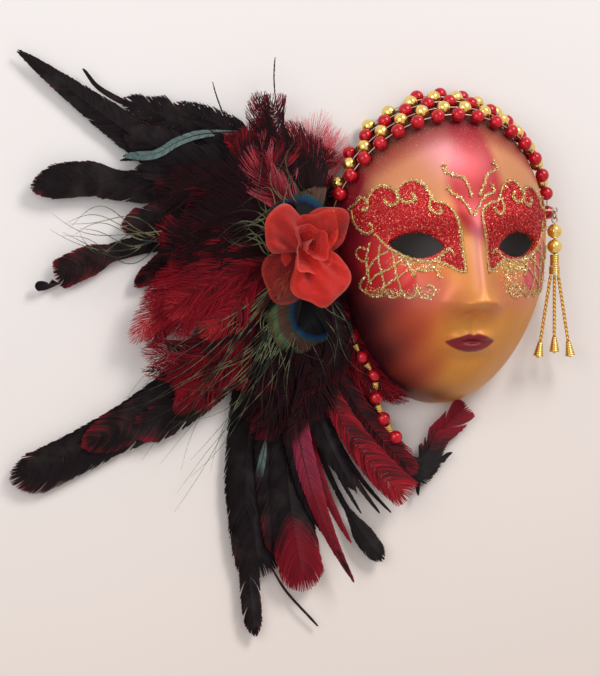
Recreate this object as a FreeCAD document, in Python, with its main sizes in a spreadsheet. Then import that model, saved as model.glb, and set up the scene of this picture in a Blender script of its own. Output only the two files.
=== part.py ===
"""Venetian masquerade mask for a wall: a full-face papier-mache shell with a bead-net cap,
a cheek strand of beads, a spray of feathers under an organza flower, and a bead tassel.

Frame: millimetres, +Z up, +X to the right of somebody looking at the face, the face looks
towards -Y. The origin is the middle of the opening at the back, in the plane of the rim, so
the wall that carries the mask is the plane y = 0.
"""
import FreeCAD, Part
import Sketcher
import os
from math import acos, asin, atan2, cos, degrees, exp, hypot, pi, radians, sin, sqrt

V = FreeCAD.Vector
FRONT = V(0, -1, 0)
doc = FreeCAD.newDocument("venetian_mask")
sheet = doc.addObject("Spreadsheet::Sheet", "sizes")
pieces = []


# ------------------------------------------------------------------ driving dimensions

SIZES = {
    # papier-mache shell
    "shell_half_width": 62.0,
    "shell_half_height": 83.0,
    "dome_depth": 54.0,
    "jaw_taper": 0.09,
    "shell_wall": 2.5,
    # face, by the usual drawing rules: eyes halfway up, nose and mouth in thirds below them
    "eye_spacing": 60.0,
    "eye_height": 5.0,
    "eye_length": 28.0,
    "eye_opening": 14.0,
    "nose_height": 15.0,
    "nose_tip_drop": 25.0,
    "mouth_drop": 47.0,
    "tie_hole_diameter": 4.0,
    "tie_hole_drop": 18.0,
    "tie_hole_inset": 7.0,
    # bead cap and cheek strand
    "bead_diameter": 7.6,
    "thread_diameter": 0.6,
    "thread_play": 1.4,
    "bead_gap": 0.3,
    "cap_pitch": 11.9,
    "cap_margin": 6.0,
    "cap_row_step": 6.7,
    "cap_slope": 0.42,
    "cone_length": 4.2,
    "cone_diameter": 5.0,
    "strand_depth": 7.0,
    # feather spray
    "wall_gap": 1.0,
    "layer_gap": 0.4,
    "fit_gap": 0.3,
    "glue_radius": 7.0,
    "pad_radius": 22.0,
    "pad_bite": 4.0,
    "pad_thickness": 3.0,
    "quill_size": 1.8,
    "quill_length": 9.0,
    "vane_thickness": 1.2,
    "peacock_radius": 22.0,
    "peacock_distance": 34.0,
    "hook_width": 9.0,
    "hook_bow": 38.0,
    "hook_end": 19.0,
    "hook_drop": 7.0,
    # flower
    "flower_radius": 25.0,
    "flower_core_radius": 3.0,
    "flower_base_radius": 11.0,
    "flower_base_thickness": 2.0,
    "petal_rise": 12.0,
    "petal_thickness": 5.0,
    "petal_angle": 84.0,
    "heart_radius": 12.0,
    "heart_height": 15.0,
    # tassel
    "pin_depth": 14.0,
    "pin_height": 23.0,
    "pin_reach": 7.0,
    "wire_diameter": 0.9,
    "loop_radius": 1.6,
    "jump_ring_radius": 2.0,
    "link_play": 0.15,
    "large_bead_diameter": 8.2,
    "pin_play": 0.6,
    "neck_diameter": 5.0,
    "neck_length": 6.3,
    "collar_diameter": 6.0,
    "collar_length": 4.4,
    "cord_diameter": 2.0,
    "cord_length": 34.0,
    "cord_stagger": 3.0,
    "cord_gap": 0.4,
    "cord_drop": 0.75,
    "strand_splay": 9.5,
    "bell_diameter": 5.6,
    "bell_length": 8.0,
    "bell_mouth": 1.5,
    "bell_wall": 0.6,
    "tip_diameter": 2.4,
}

# name, reach from the middle of the spray, width of the vane, bow of its inner edge, the side
# it bows to (+1 is anticlockwise for somebody in front), heading, layer counted from the wall
FEATHERS = [
    ("coque_1", 192, 19, 4, -1, 146, 0),
    ("coque_2", 159, 21, 9, -1, 166, 1),
    ("coque_3", 147, 17, 7, -1, 183, 0),
    ("coque_4", 207, 24, 13, 1, 216, 0),
    ("coque_5", 160, 17, 9, 1, 221, 1),
    ("coque_6", 211, 21, 10, -1, 262, 0),
    ("coque_7", 182, 18, 6, -1, 269, 1),
    ("coque_8", 176, 15, 5, -1, 277, 2),
    ("coque_9", 175, 10, 8, -1, 286, 0),
    ("coque_10", 142, 12, 5, -1, 295, 2),
    ("coque_11", 116, 18, 5, -1, 154, 2),
    ("hackle_1", 108, 24, 3, -1, 192, 3),
    ("hackle_2", 115, 22, 4, -1, 209, 4),
    ("hackle_3", 127, 22, 5, -1, 230, 3),
    ("hackle_4", 109, 24, 4, -1, 165, 4),
    ("hackle_5", 90, 20, 4, 1, 117, 3),
    ("hackle_6", 97, 20, 3, 1, 106, 4),
    ("hackle_7", 75, 15, 3, 1, 73, 3),
    ("hackle_8", 150, 16, 10, -1, 295, 3),
    ("hackle_9", 120, 22, 4, 1, 262, 4),
    ("marabou_1", 92, 28, 3, 1, 92, 5),
]

# rows of beads in the cap
CAP_ROWS = 5

# heading and layer of the two peacock eyes
PEACOCKS = [("peacock_1", 112, 6), ("peacock_2", 256, 5)]

# the cheek strand leaves the jaw and goes on through these places, counted from where it leaves
STRAND_TAIL = [V(1.7, -0.3, -12.7), V(5.2, -0.8, -23.7), V(11.2, -1.3, -33.7), V(20.2, -1.3, -41.7)]


def put_sizes(values):
    """Write each named value into its own cell of the sheet and give the cell its name."""
    for name, value in values.items():
        put_sizes.row += 1
        sheet.set(f"A{put_sizes.row}", name)
        sheet.set(f"B{put_sizes.row}", str(value))
        sheet.setAlias(f"B{put_sizes.row}", name)


put_sizes.row = 0
put_sizes(SIZES)
for name, reach, width, bow, side, heading, layer in FEATHERS:
    put_sizes({f"{name}_reach": reach, f"{name}_width": width, f"{name}_bow": bow})
doc.recompute()


def size(name):
    return float(sheet.get(name))


def spray_offset():
    """How far the middle of the spray is to the left of the middle of the shell."""
    return size("shell_half_width") + size("pad_radius") - size("pad_bite")


# ------------------------------------------------------------------ helpers

def add(label, kind):
    thing = doc.addObject(kind, label)
    thing.Label = label
    return thing


def piece(label, kind):
    """A sub-part: it is written to its own file at the end."""
    thing = add(label, kind)
    pieces.append(thing)
    return thing


def bind(thing, **expressions):
    """Tie properties to the sheet: bind(box, Length='wall') reads sizes.wall."""
    for prop, formula in expressions.items():
        thing.setExpression(prop, formula)


def new_sketch(body, name, plane):
    """A sketch on one of the body's own origin planes."""
    sketch = body.newObject("Sketcher::SketchObject", name)
    origin_plane = [f for f in body.Origin.OriginFeatures if f.Role == plane][0]
    sketch.AttachmentSupport = [(origin_plane, "")]
    sketch.MapMode = "FlatFace"
    return sketch


def place(thing, point, axis=V(0, 0, 1), angle=0.0):
    thing.Placement = FreeCAD.Placement(point, FreeCAD.Rotation(axis, angle))


def aim(thing, point, direction):
    """Put the thing's own Z axis along the direction."""
    thing.Placement = FreeCAD.Placement(point, FreeCAD.Rotation(V(0, 0, 1), direction))


def polygon(sketch, corners):
    """Closed outline of straight lines. Each corner is a pair of formulas that place it."""
    count = len(corners)
    spots = [V(cos(2 * pi * i / count), sin(2 * pi * i / count), 0) for i in range(count)]
    for i in range(count):
        sketch.addGeometry(Part.LineSegment(spots[i], spots[(i + 1) % count]), False)
    for i in range(count):
        sketch.addConstraint(Sketcher.Constraint("Coincident", i, 2, (i + 1) % count, 1))
    for i, formulas in enumerate(corners):
        for kind, formula in zip(("DistanceX", "DistanceY"), formulas):
            index = sketch.addConstraint(Sketcher.Constraint(kind, -1, 1, i, 1, 1.0))
            sketch.setExpression(f"Constraints[{index}]", formula)


def pad(body, sketch, length):
    feature = body.newObject("PartDesign::Pad", f"{sketch.Name}_pad")
    feature.Profile = sketch
    bind(feature, Length=length)
    return feature


def revolve(label, corners, angle=None):
    """A turned piece: an outline in the local XZ plane, turned about the local Z axis."""
    body = piece(label, "PartDesign::Body")
    sketch = new_sketch(body, f"{label}_profile", "XZ_Plane")
    polygon(sketch, corners)
    turn = body.newObject("PartDesign::Revolution", f"{label}_turn")
    turn.Profile = sketch
    turn.ReferenceAxis = (sketch, ["V_Axis"])
    turn.Angle = 360
    if angle:
        bind(turn, Angle=angle)
    return body


# ------------------------------------------------------------------ face surface

def bump(x, z, middle_x, middle_z, spread_x, spread_z):
    return exp(-0.5 * (((x - middle_x) / spread_x) ** 2 + ((z - middle_z) / spread_z) ** 2))


def relief(x, z, fine):
    """How far the face stands out from the plain dome at (x, z)."""
    side = abs(x)
    eye_x = size("eye_spacing") / 2
    eye_z = size("eye_height")
    tip_z = -size("nose_tip_drop")
    mouth_z = -size("mouth_drop")
    bridge_z = eye_z + 6
    along = min(1.0, max(0.0, (bridge_z - z) / (bridge_z - tip_z)))
    below = max(0.0, tip_z - z)
    height = size("nose_height") * (0.28 + 0.72 * along ** 1.3) * exp(-((below / 6.5) ** 2))
    above = max(0.0, z - bridge_z)
    height *= exp(-((above / 9.0) ** 2))
    out = height * exp(-0.5 * (x / (5.0 + 3.2 * along)) ** 2)
    out += 5.0 * bump(side, z, 9.5, tip_z - 2.5, 4.0, 4.2)
    out += 3.0 * bump(side, z, 24, eye_z + 15, 17, 5.5)
    out -= 6.5 * bump(side, z, eye_x - 3, eye_z, 12, 8.5)
    out += 3.5 * bump(side, z, eye_x + 3, tip_z + 3, 14, 13)
    out += 4.5 * bump(x, z, 0, mouth_z, 19, 12)
    out += 5.5 * bump(x, z, 0, mouth_z - 24, 13, 9)
    out += 3.0 * bump(x, z, 0, eye_z + 42, 36, 24)
    if fine:
        out += 2.4 * bump(side, z, eye_x, eye_z, 13, 6.5)
        out += 2.6 * bump(side, z, 4.5, mouth_z + 3.6, 7.5, 2.3)
        out += 3.4 * bump(x, z, 0, mouth_z - 4.0, 9.5, 3.0)
        out -= 1.0 * bump(x, z, 0, mouth_z, 15, 1.4)
        out -= 1.0 * bump(x, z, 0, mouth_z + 10, 2.2, 4.0)
    return out


def rim(turn, inset=0.0):
    """The egg-shaped outline of the shell at the wall, by its angle parameter."""
    half_width = size("shell_half_width") - inset
    half_height = size("shell_half_height") - inset
    return (half_width * cos(turn) * (1 + size("jaw_taper") * sin(turn)), half_height * sin(turn))


def face_point(turn, lift, inset=0.0, fine=True):
    """Point of the face: lift runs from 0 at the middle to pi/2 at the rim, and goes on
    beyond it as a straight wall."""
    rim_x, rim_z = rim(turn, inset)
    depth = size("dome_depth") - inset
    if lift > pi / 2:
        return V(rim_x, depth * (lift - pi / 2), rim_z)
    x = rim_x * sin(lift)
    z = rim_z * sin(lift)
    fade = sin(min(1.0, cos(lift) / 0.4) * pi / 2)
    return V(x, -depth * cos(lift) - fade * relief(x, z, fine), z)


def face_normal(turn, lift):
    """Outward normal of the face, by small steps."""
    step = 0.002
    along = face_point(turn + step, lift) - face_point(turn - step, lift)
    across = face_point(turn, lift + step) - face_point(turn, lift - step)
    return across.cross(along).normalize()


def square_to_disc(u, v):
    """Smooth map of the square [-1, 1] x [-1, 1] onto the unit disc."""
    x = u * sqrt(1 - v * v / 2)
    z = v * sqrt(1 - u * u / 2)
    return atan2(z, x), hypot(x, z)


def dome(inset, fine, past_rim, steps):
    """Closed solid under the face surface, flat at the back a little past the rim."""
    depth = size("dome_depth") - inset
    full_lift = pi / 2 + past_rim / depth
    grid = []
    for i in range(steps + 1):
        line = []
        for j in range(steps + 1):
            turn, share = square_to_disc(2 * i / steps - 1, 2 * j / steps - 1)
            line.append(face_point(turn, min(1.0, share) * full_lift, inset, fine))
        grid.append(line)
    surface = Part.BSplineSurface()
    surface.interpolate(grid)
    face = surface.toShape()
    back = Part.Face(Part.Wire(Part.__sortEdges__(face.Edges)))
    solid = Part.Solid(Part.Shell([face, back]))
    solid.fix(1e-4, 1e-5, 1e-3)
    return solid


def make_shell():
    outer = dome(0.0, True, 1.5, 36)
    inner = dome(size("shell_wall"), False, 2.5, 30)
    blank = add("shell_blank", "Part::Feature")
    blank.Shape = outer.cut(inner)

    behind = add("behind_rim", "Part::Box")
    bind(behind, Length="4 * sizes.shell_half_width", Height="4 * sizes.shell_half_height")
    behind.Width = 20
    place(behind, V(-2 * size("shell_half_width"), 0, -2 * size("shell_half_height")))

    pin_hole = add("pin_hole", "Part::Cylinder")
    bind(pin_hole, Radius="sizes.wire_diameter / 2 + 0.1")
    pin_hole.Height = 12
    aim(pin_hole, pin_foot() - V(8, 0, 0), V(1, 0, 0))
    cuts = [behind, pin_hole]
    for side, name in ((-1, "left"), (1, "right")):
        cuts.append(eye_hole_tool(side, f"eye_{name}"))
        hole = add(f"tie_hole_{name}", "Part::Cylinder")
        bind(hole, Radius="sizes.tie_hole_diameter / 2")
        hole.Height = 20
        start = V(side * (size("shell_half_width") - 14), -size("tie_hole_inset"),
                  -size("tie_hole_drop"))
        aim(hole, start, V(side, 0, 0))
        cuts.append(hole)
    tools = add("shell_cuts", "Part::MultiFuse")
    tools.Shapes = cuts
    shell = piece("mask_shell", "Part::Cut")
    shell.Base = blank
    shell.Tool = tools


def eye_hole_tool(side, name):
    """Almond prism that cuts one eye: two arcs that share the corners of the eye."""
    body = add(f"{name}_tool", "PartDesign::Body")
    sketch = new_sketch(body, f"{name}_outline", "XZ_Plane")
    half = size("eye_length") / 2
    rise = size("eye_opening") / 2
    radius = "(sizes.eye_length ^ 2 + sizes.eye_opening ^ 2) / (4 * sizes.eye_opening)"
    two_arcs(sketch, -half, half, rise, -rise,
             ("-sizes.eye_length / 2", "sizes.eye_length", radius, radius))
    pad(body, sketch, "2 * sizes.dome_depth")
    place(body, V(side * size("eye_spacing") / 2, -5, size("eye_height")), FRONT, side * 4.0)
    return body


def two_arcs(sketch, base, tip, first, second, formulas):
    """Closed outline of two arcs between (base, 0) and (tip, 0), with the heights first and
    second over their chord. The formulas hold the base, the chord and the two radii."""
    for height in (first, second):
        arc = Part.Arc(V(base, 0, 0), V((base + tip) / 2, height, 0), V(tip, 0, 0))
        sketch.addGeometry(arc, False)

    def end_at(index, across):
        return 1 if abs(sketch.getPoint(index, 1).x - across) < 1e-6 else 2

    base_ends = [end_at(0, base), end_at(1, base)]
    tip_ends = [end_at(0, tip), end_at(1, tip)]
    radii = [((tip - base) ** 2 / 4 + rise ** 2) / (2 * abs(rise)) for rise in (first, second)]
    limit = Sketcher.Constraint
    sketch.addConstraint(limit("Coincident", 0, base_ends[0], 1, base_ends[1]))
    sketch.addConstraint(limit("Coincident", 0, tip_ends[0], 1, tip_ends[1]))
    sketch.addConstraint(limit("PointOnObject", 0, base_ends[0], -1))
    sketch.addConstraint(limit("PointOnObject", 0, tip_ends[0], -1))
    measured = [
        limit("DistanceX", -1, 1, 0, base_ends[0], base),
        limit("DistanceX", 0, base_ends[0], 0, tip_ends[0], tip - base),
        limit("Radius", 0, radii[0]),
        limit("Radius", 1, radii[1]),
    ]
    for item, formula in zip(measured, formulas):
        index = sketch.addConstraint(item)
        sketch.setExpression(f"Constraints[{index}]", formula)


# ------------------------------------------------------------------ feather spray

def layer_back(layer):
    """Distance from the wall to the back of a layer: three layers, the pad, then the rest."""
    start = size("wall_gap") + layer * (size("quill_size") + size("layer_gap"))
    if layer >= PAD_LAYER:
        start += size("pad_thickness") + size("layer_gap")
    return start


PAD_LAYER = 3
FLOWER_LAYER = 7


def pad_back():
    return layer_back(PAD_LAYER) - size("pad_thickness") - size("layer_gap")


def spray_point(depth):
    return V(-spray_offset(), -depth, 0)


def make_pad():
    """Felt disc that the feathers are glued to, cut to fit the side of the shell."""
    body = add("pad_disc", "PartDesign::Body")
    sketch = new_sketch(body, "pad_outline", "XZ_Plane")
    for radius, formula in ((size("pad_radius"), "sizes.pad_radius"),
                            (size("glue_radius"), "sizes.glue_radius + sizes.fit_gap")):
        circle = sketch.addGeometry(Part.Circle(V(0, 0, 0), V(0, 0, 1), radius), False)
        sketch.addConstraint(Sketcher.Constraint("Coincident", circle, 3, -1, 1))
        index = sketch.addConstraint(Sketcher.Constraint("Radius", circle, radius))
        sketch.setExpression(f"Constraints[{index}]", formula)
    pad(body, sketch, "sizes.pad_thickness")
    place(body, spray_point(pad_back()))

    lift = acos(pad_back() / size("dome_depth"))
    edge = []
    for step in range(48):
        turn = 2 * pi * step / 48
        out = face_normal(turn, lift)
        out.y = 0
        edge.append(face_point(turn, lift) + out.normalize() * size("fit_gap"))
        edge[-1].y = 0
    curve = Part.BSplineCurve()
    curve.interpolate(edge, True)
    notch = add("pad_notch", "Part::Feature")
    notch.Shape = Part.Face(Part.Wire(curve.toShape())).extrude(FRONT * size("dome_depth"))

    felt = piece("feather_pad", "Part::Cut")
    felt.Base = body
    felt.Tool = notch


def make_glue_core():
    """Puck of hot glue that binds the quills, from the wall side to the flower."""
    core = piece("glue_core", "Part::Cylinder")
    depth = layer_back(FLOWER_LAYER) - size("layer_gap") - size("wall_gap")
    bind(core, Radius="sizes.glue_radius")
    core.Height = depth + size("layer_gap") - size("fit_gap")
    aim(core, spray_point(size("wall_gap")), FRONT)


def quill(body, name):
    """Square shaft from the glue to a little way into the vane."""
    sketch = new_sketch(body, f"{name}_quill", "XZ_Plane")
    inner = "sizes.glue_radius + sizes.fit_gap"
    outer = f"{inner} + sizes.quill_length + 5"
    half = "sizes.quill_size / 2"
    polygon(sketch, [(inner, f"-{half}"), (outer, f"-{half}"), (outer, half), (inner, half)])
    return pad(body, sketch, "sizes.quill_size")


def make_feather(name, side, heading, layer):
    """Sickle-shaped vane between two arcs on one chord, on its quill."""
    body = piece(name, "PartDesign::Body")
    sketch = new_sketch(body, f"{name}_vane", "XZ_Plane")
    base = size("glue_radius") + size("fit_gap") + size("quill_length")
    reach = size(f"{name}_reach")
    inner = size(f"{name}_bow")
    outer = inner + size(f"{name}_width")
    base_formula = "sizes.glue_radius + sizes.fit_gap + sizes.quill_length"
    chord = f"(sizes.{name}_reach - {base_formula.replace('+', '-')})"
    radii = []
    for rise in (f"sizes.{name}_bow", f"(sizes.{name}_bow + sizes.{name}_width)"):
        radii.append(f"({chord} ^ 2 / 4 + {rise} ^ 2) / (2 * {rise})")
    two_arcs(sketch, base, reach, side * inner, side * outer, (base_formula, chord, *radii))
    pad(body, sketch, "sizes.vane_thickness")
    quill(body, name)
    place(body, spray_point(layer_back(layer)), FRONT, heading)


def make_hook():
    """Long thin feather that curls under the chin; its chord ends just below the shell."""
    across = spray_offset() + size("hook_end")
    drop = size("shell_half_height") + size("hook_drop")
    put_sizes({"coque_12_reach": hypot(across, drop), "coque_12_width": size("hook_width"),
               "coque_12_bow": size("hook_bow")})
    doc.recompute()
    make_feather("coque_12", -1, -degrees(atan2(drop, across)), 1)


def make_peacock(name, heading, layer):
    """Peacock eye: a round vane on its quill."""
    body = piece(name, "PartDesign::Body")
    sketch = new_sketch(body, f"{name}_eye", "XZ_Plane")
    radius = size("peacock_radius")
    middle = V(size("peacock_distance"), 0, 0)
    sketch.addGeometry(Part.Circle(middle, V(0, 0, 1), radius), False)
    sketch.addConstraint(Sketcher.Constraint("PointOnObject", 0, 3, -1))
    for item, formula in (
            (Sketcher.Constraint("DistanceX", -1, 1, 0, 3, middle.x), "sizes.peacock_distance"),
            (Sketcher.Constraint("Radius", 0, radius), "sizes.peacock_radius")):
        index = sketch.addConstraint(item)
        sketch.setExpression(f"Constraints[{index}]", formula)
    pad(body, sketch, "sizes.vane_thickness")
    quill(body, name)
    place(body, spray_point(layer_back(layer)), FRONT, heading)


# ------------------------------------------------------------------ flower

def make_flower():
    """Organza flower: a stiff disc, four gathered petals round it and a ruched heart."""
    back = layer_back(FLOWER_LAYER)
    base = revolve("flower_base", [
        ("0", "0"), ("sizes.flower_base_radius", "0"),
        ("sizes.flower_base_radius", "sizes.flower_base_thickness"),
        ("0", "sizes.flower_base_thickness")])
    aim(base, spray_point(back), FRONT)

    front = back + size("flower_base_thickness") + size("fit_gap")
    names = ("petal_upper_right", "petal_upper_left", "petal_lower_left", "petal_lower_right")
    for quarter, name in enumerate(names):
        petal = revolve(name, [
            ("sizes.flower_core_radius", "0"),
            ("sizes.flower_radius", "sizes.petal_rise"),
            ("sizes.flower_radius", "sizes.petal_rise + sizes.petal_thickness"),
            ("sizes.flower_core_radius", "sizes.petal_thickness")], "sizes.petal_angle")
        spin = FreeCAD.Rotation(V(0, 0, 1), 90 * quarter + 5)
        stand = FreeCAD.Rotation(V(0, 0, 1), FRONT)
        petal.Placement = FreeCAD.Placement(spray_point(front), stand.multiply(spin))

    # the heart is a cone that nests in the petals with the clearance all round
    slope = size("petal_rise") / (size("flower_radius") - size("flower_core_radius"))
    lift = size("petal_thickness") + size("fit_gap") * sqrt(1 + slope * slope)
    tilt = "sizes.petal_rise / (sizes.flower_radius - sizes.flower_core_radius)"
    heart = revolve("flower_heart", [
        ("0", "0"), ("sizes.flower_core_radius", "0"),
        ("sizes.heart_radius", f"(sizes.heart_radius - sizes.flower_core_radius) * {tilt}"),
        ("sizes.heart_radius", "sizes.heart_height - 3"),
        ("sizes.heart_radius - 4", "sizes.heart_height"), ("0", "sizes.heart_height")])
    aim(heart, spray_point(front + lift), FRONT)


# ------------------------------------------------------------------ beads

def bead_blank(label, kind, **sizes_of):
    """One bead with its hole along its own Z axis, as a template for the rows."""
    body = add(label, kind)
    bind(body, **sizes_of)
    hole = add(f"{label}_hole", "Part::Cylinder")
    bind(hole, Radius="(sizes.thread_diameter + sizes.thread_play) / 2",
         Height="2 * sizes.large_bead_diameter")
    place(hole, V(0, 0, -size("large_bead_diameter")))
    bored = add(f"{label}_bored", "Part::Cut")
    bored.Base = body
    bored.Tool = hole
    doc.recompute()
    return bored


def group_of(label, blank, spots):
    """Copies of a template, one for each (point, direction)."""
    row = piece(label, "Part::Feature")
    copies = []
    for point, direction in spots:
        copy = blank.Shape.copy()
        copy.Placement = FreeCAD.Placement(point, FreeCAD.Rotation(V(0, 0, 1), direction))
        copies.append(copy)
    row.Shape = Part.Compound(copies)


def thread_through(points):
    """Round thread through the points, with mitred corners."""
    path = Part.makePolygon(points)
    circle = Part.Circle(points[0], points[1] - points[0], size("thread_diameter") / 2)
    return path.makePipeShell([Part.Wire(circle.toShape())], True, False, 1)


def along(points, distances):
    """Points and directions at the given distances along a line of points."""
    spots = []
    for distance in distances:
        left = distance
        for start, end in zip(points, points[1:]):
            run = (end - start).Length
            if left <= run or end is points[-1]:
                break
            left -= run
        direction = (end - start).normalize()
        spots.append((start + direction * left, direction))
    return spots


def bore_ends(spots, half):
    """Places a little outside both ends of each bead, on its own axis."""
    ends = []
    for point, way in spots:
        ends += [point - way * (half + 0.1), point + way * (half + 0.1)]
    return ends


def length_of(points):
    return sum((b - a).Length for a, b in zip(points, points[1:]))


def over_face(turn, lift, height):
    return face_point(turn, lift) + face_normal(turn, lift) * height


def cap_spot(row, turn):
    """Where one row of the cap crosses a direction from the middle of the face, or None where
    the row has come too near the wall. A row is the face cut by a sloping plane; the rows
    step back from the front one, and the last is a margin short of the rim."""
    front = size("cap_margin") + (CAP_ROWS - row) * size("cap_row_step")
    height = size("bead_diameter") / 2 + size("bead_gap")

    def past_plane(lift):
        point = face_point(turn, lift)
        drop = size("shell_half_height") - point.z
        return point.y + front - size("cap_slope") * drop

    low = 0.3
    high = pi / 2
    if past_plane(high) < 0:
        return None
    for halving in range(40):
        middle = (low + high) / 2
        if past_plane(middle) < 0:
            low = middle
        else:
            high = middle
    point = over_face(turn, low, height)
    return point if point.y < -height else None


def cap_turns():
    """Directions of the beads: half a pitch apart along the front row, from its middle out."""
    turns = []
    line = []
    for degree in range(361):
        spot = cap_spot(1, radians(degree / 2))
        if spot is not None:
            turns.append(radians(degree / 2))
            line.append(spot)
    reach = [0.0]
    for start, end in zip(line, line[1:]):
        reach.append(reach[-1] + (end - start).Length)
    half_pitch = size("cap_pitch") / 2
    each_way = int((reach[-1] / 2 - size("bead_diameter") / 2) / half_pitch)
    found = []
    for step in range(-each_way, each_way + 1):
        wanted = reach[-1] / 2 + step * half_pitch
        after = next(i for i, distance in enumerate(reach) if distance >= wanted)
        share = (wanted - reach[after - 1]) / (reach[after] - reach[after - 1])
        found.append((step, turns[after - 1] + share * (turns[after] - turns[after - 1])))
    return found


def make_bead_cap(bead):
    """Five staggered rows of beads over the head, each on its thread."""
    threads = []
    turns = cap_turns()
    for row in range(1, CAP_ROWS + 1):
        found = [cap_spot(row, turn) for step, turn in turns if (step + row) % 2]
        line = [point for point in found if point is not None]
        ways = [(after - before).normalize() for before, after in
                zip([line[0]] + line[:-1], line[1:] + [line[-1]])]
        spots = list(zip(line, ways))
        group_of(f"cap_row_{row}", bead, spots)
        threads.append(thread_through(bore_ends(spots, size("bead_diameter") / 2)))
    net = piece("cap_threads", "Part::Feature")
    net.Shape = Part.Compound(threads)


def make_cheek_strand(bead, cone):
    """Strand of beads and small cones down the left jaw and on under the feathers."""
    height = size("bead_diameter") / 2 + size("bead_gap")
    lift = acos(size("strand_depth") / size("dome_depth"))
    jaw = [over_face(radians(angle), lift, height) for angle in range(201, 231, 4)]
    curve = Part.BSplineCurve()
    curve.interpolate(jaw + [jaw[-1] + offset for offset in STRAND_TAIL])
    line = curve.discretize(200)
    pair = size("bead_diameter") + size("cone_length") + 2 * size("bead_gap")
    count = int(length_of(line) / pair)
    middles = [size("bead_diameter") / 2 + i * pair for i in range(count)]
    between = [distance + pair / 2 for distance in middles[:-1]]
    beads = along(line, middles)
    cones = along(line, between)
    group_of("cheek_beads", bead, beads)
    half = size("cone_length") / 2
    group_of("cheek_cones", cone, [(point - way * half, way) for point, way in cones])
    thread = piece("cheek_thread", "Part::Feature")
    thread.Shape = thread_through(bore_ends(beads, size("bead_diameter") / 2))


# ------------------------------------------------------------------ tassel

def pin_foot():
    """Where the eye pin leaves the right side of the shell."""
    lift = acos(size("pin_depth") / size("dome_depth"))
    turn = asin(size("pin_height") / size("shell_half_height") / sin(lift))
    return face_point(turn, lift)


def ring(label, radius, point, axis):
    torus = piece(label, "Part::Torus")
    bind(torus, Radius1=radius, Radius2="sizes.wire_diameter / 2")
    aim(torus, point, axis)
    return torus


def make_tassel():
    """Eye pin, jump ring, head pin with two large beads, neck and collar, three strands."""
    foot = pin_foot()
    wire = size("wire_diameter")
    link = wire + size("link_play")
    x = foot.x + size("pin_reach")
    y = foot.y

    eye = V(x, y, foot.z)
    loop = add("pin_loop", "Part::Torus")
    bind(loop, Radius1="sizes.loop_radius", Radius2="sizes.wire_diameter / 2")
    aim(loop, eye, V(0, 1, 0))
    shank = add("pin_shank", "Part::Cylinder")
    bind(shank, Radius="sizes.wire_diameter / 2",
         Height="sizes.shell_wall + sizes.pin_reach - sizes.loop_radius")
    aim(shank, foot - V(size("shell_wall"), 0, 0), V(1, 0, 0))
    pin = piece("eye_pin", "Part::Fuse")
    pin.Base = loop
    pin.Tool = shank

    hook_1 = eye.z - size("loop_radius")
    ring_z = hook_1 + link - size("jump_ring_radius")
    ring("jump_ring", "sizes.jump_ring_radius", V(x, y, ring_z), V(1, 0, 0))

    hook_2 = ring_z - size("jump_ring_radius")
    head_z = hook_2 + link - size("loop_radius")
    head = add("head_loop", "Part::Torus")
    bind(head, Radius1="sizes.loop_radius", Radius2="sizes.wire_diameter / 2")
    aim(head, V(x, y, head_z), V(0, 1, 0))

    gap = size("fit_gap")
    large = size("large_bead_diameter")
    z = head_z - size("loop_radius") - wire / 2
    for name in ("tassel_bead_upper", "tassel_bead_lower"):
        z -= gap + large / 2
        make_large_bead(name, V(x, y, z))
        z -= large / 2
    z -= gap + size("neck_length")
    neck = revolve("tassel_neck", tube_corners("sizes.neck_diameter / 2", "sizes.neck_length"))
    place(neck, V(x, y, z))
    z -= gap + size("collar_length")
    collar = revolve("tassel_collar", tube_corners("sizes.collar_diameter / 2",
                                                   "sizes.collar_length"))
    place(collar, V(x, y, z))

    stem = add("head_stem", "Part::Cylinder")
    bind(stem, Radius="sizes.wire_diameter / 2")
    stem.Height = head_z - size("loop_radius") - z
    place(stem, V(x, y, z))
    head_pin = piece("head_pin", "Part::Fuse")
    head_pin.Base = head
    head_pin.Tool = stem

    for place_in_row, name in enumerate(("left", "middle", "right")):
        make_strand(name, place_in_row - 1, V(x, y, z - size("cord_drop")))


def make_large_bead(label, point):
    ball = add(f"{label}_ball", "Part::Sphere")
    bind(ball, Radius="sizes.large_bead_diameter / 2")
    hole = add(f"{label}_hole", "Part::Cylinder")
    bind(hole, Radius="(sizes.wire_diameter + sizes.pin_play) / 2",
         Height="2 * sizes.large_bead_diameter")
    place(hole, V(0, 0, -size("large_bead_diameter")))
    bead = piece(label, "Part::Cut")
    bead.Base = ball
    bead.Tool = hole
    place(bead, point)


def tube_corners(radius, length):
    """Outline of a short tube round the head pin."""
    bore = "(sizes.wire_diameter + sizes.pin_play) / 2"
    return [(bore, "0"), (radius, "0"), (radius, length), (bore, length)]


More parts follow.
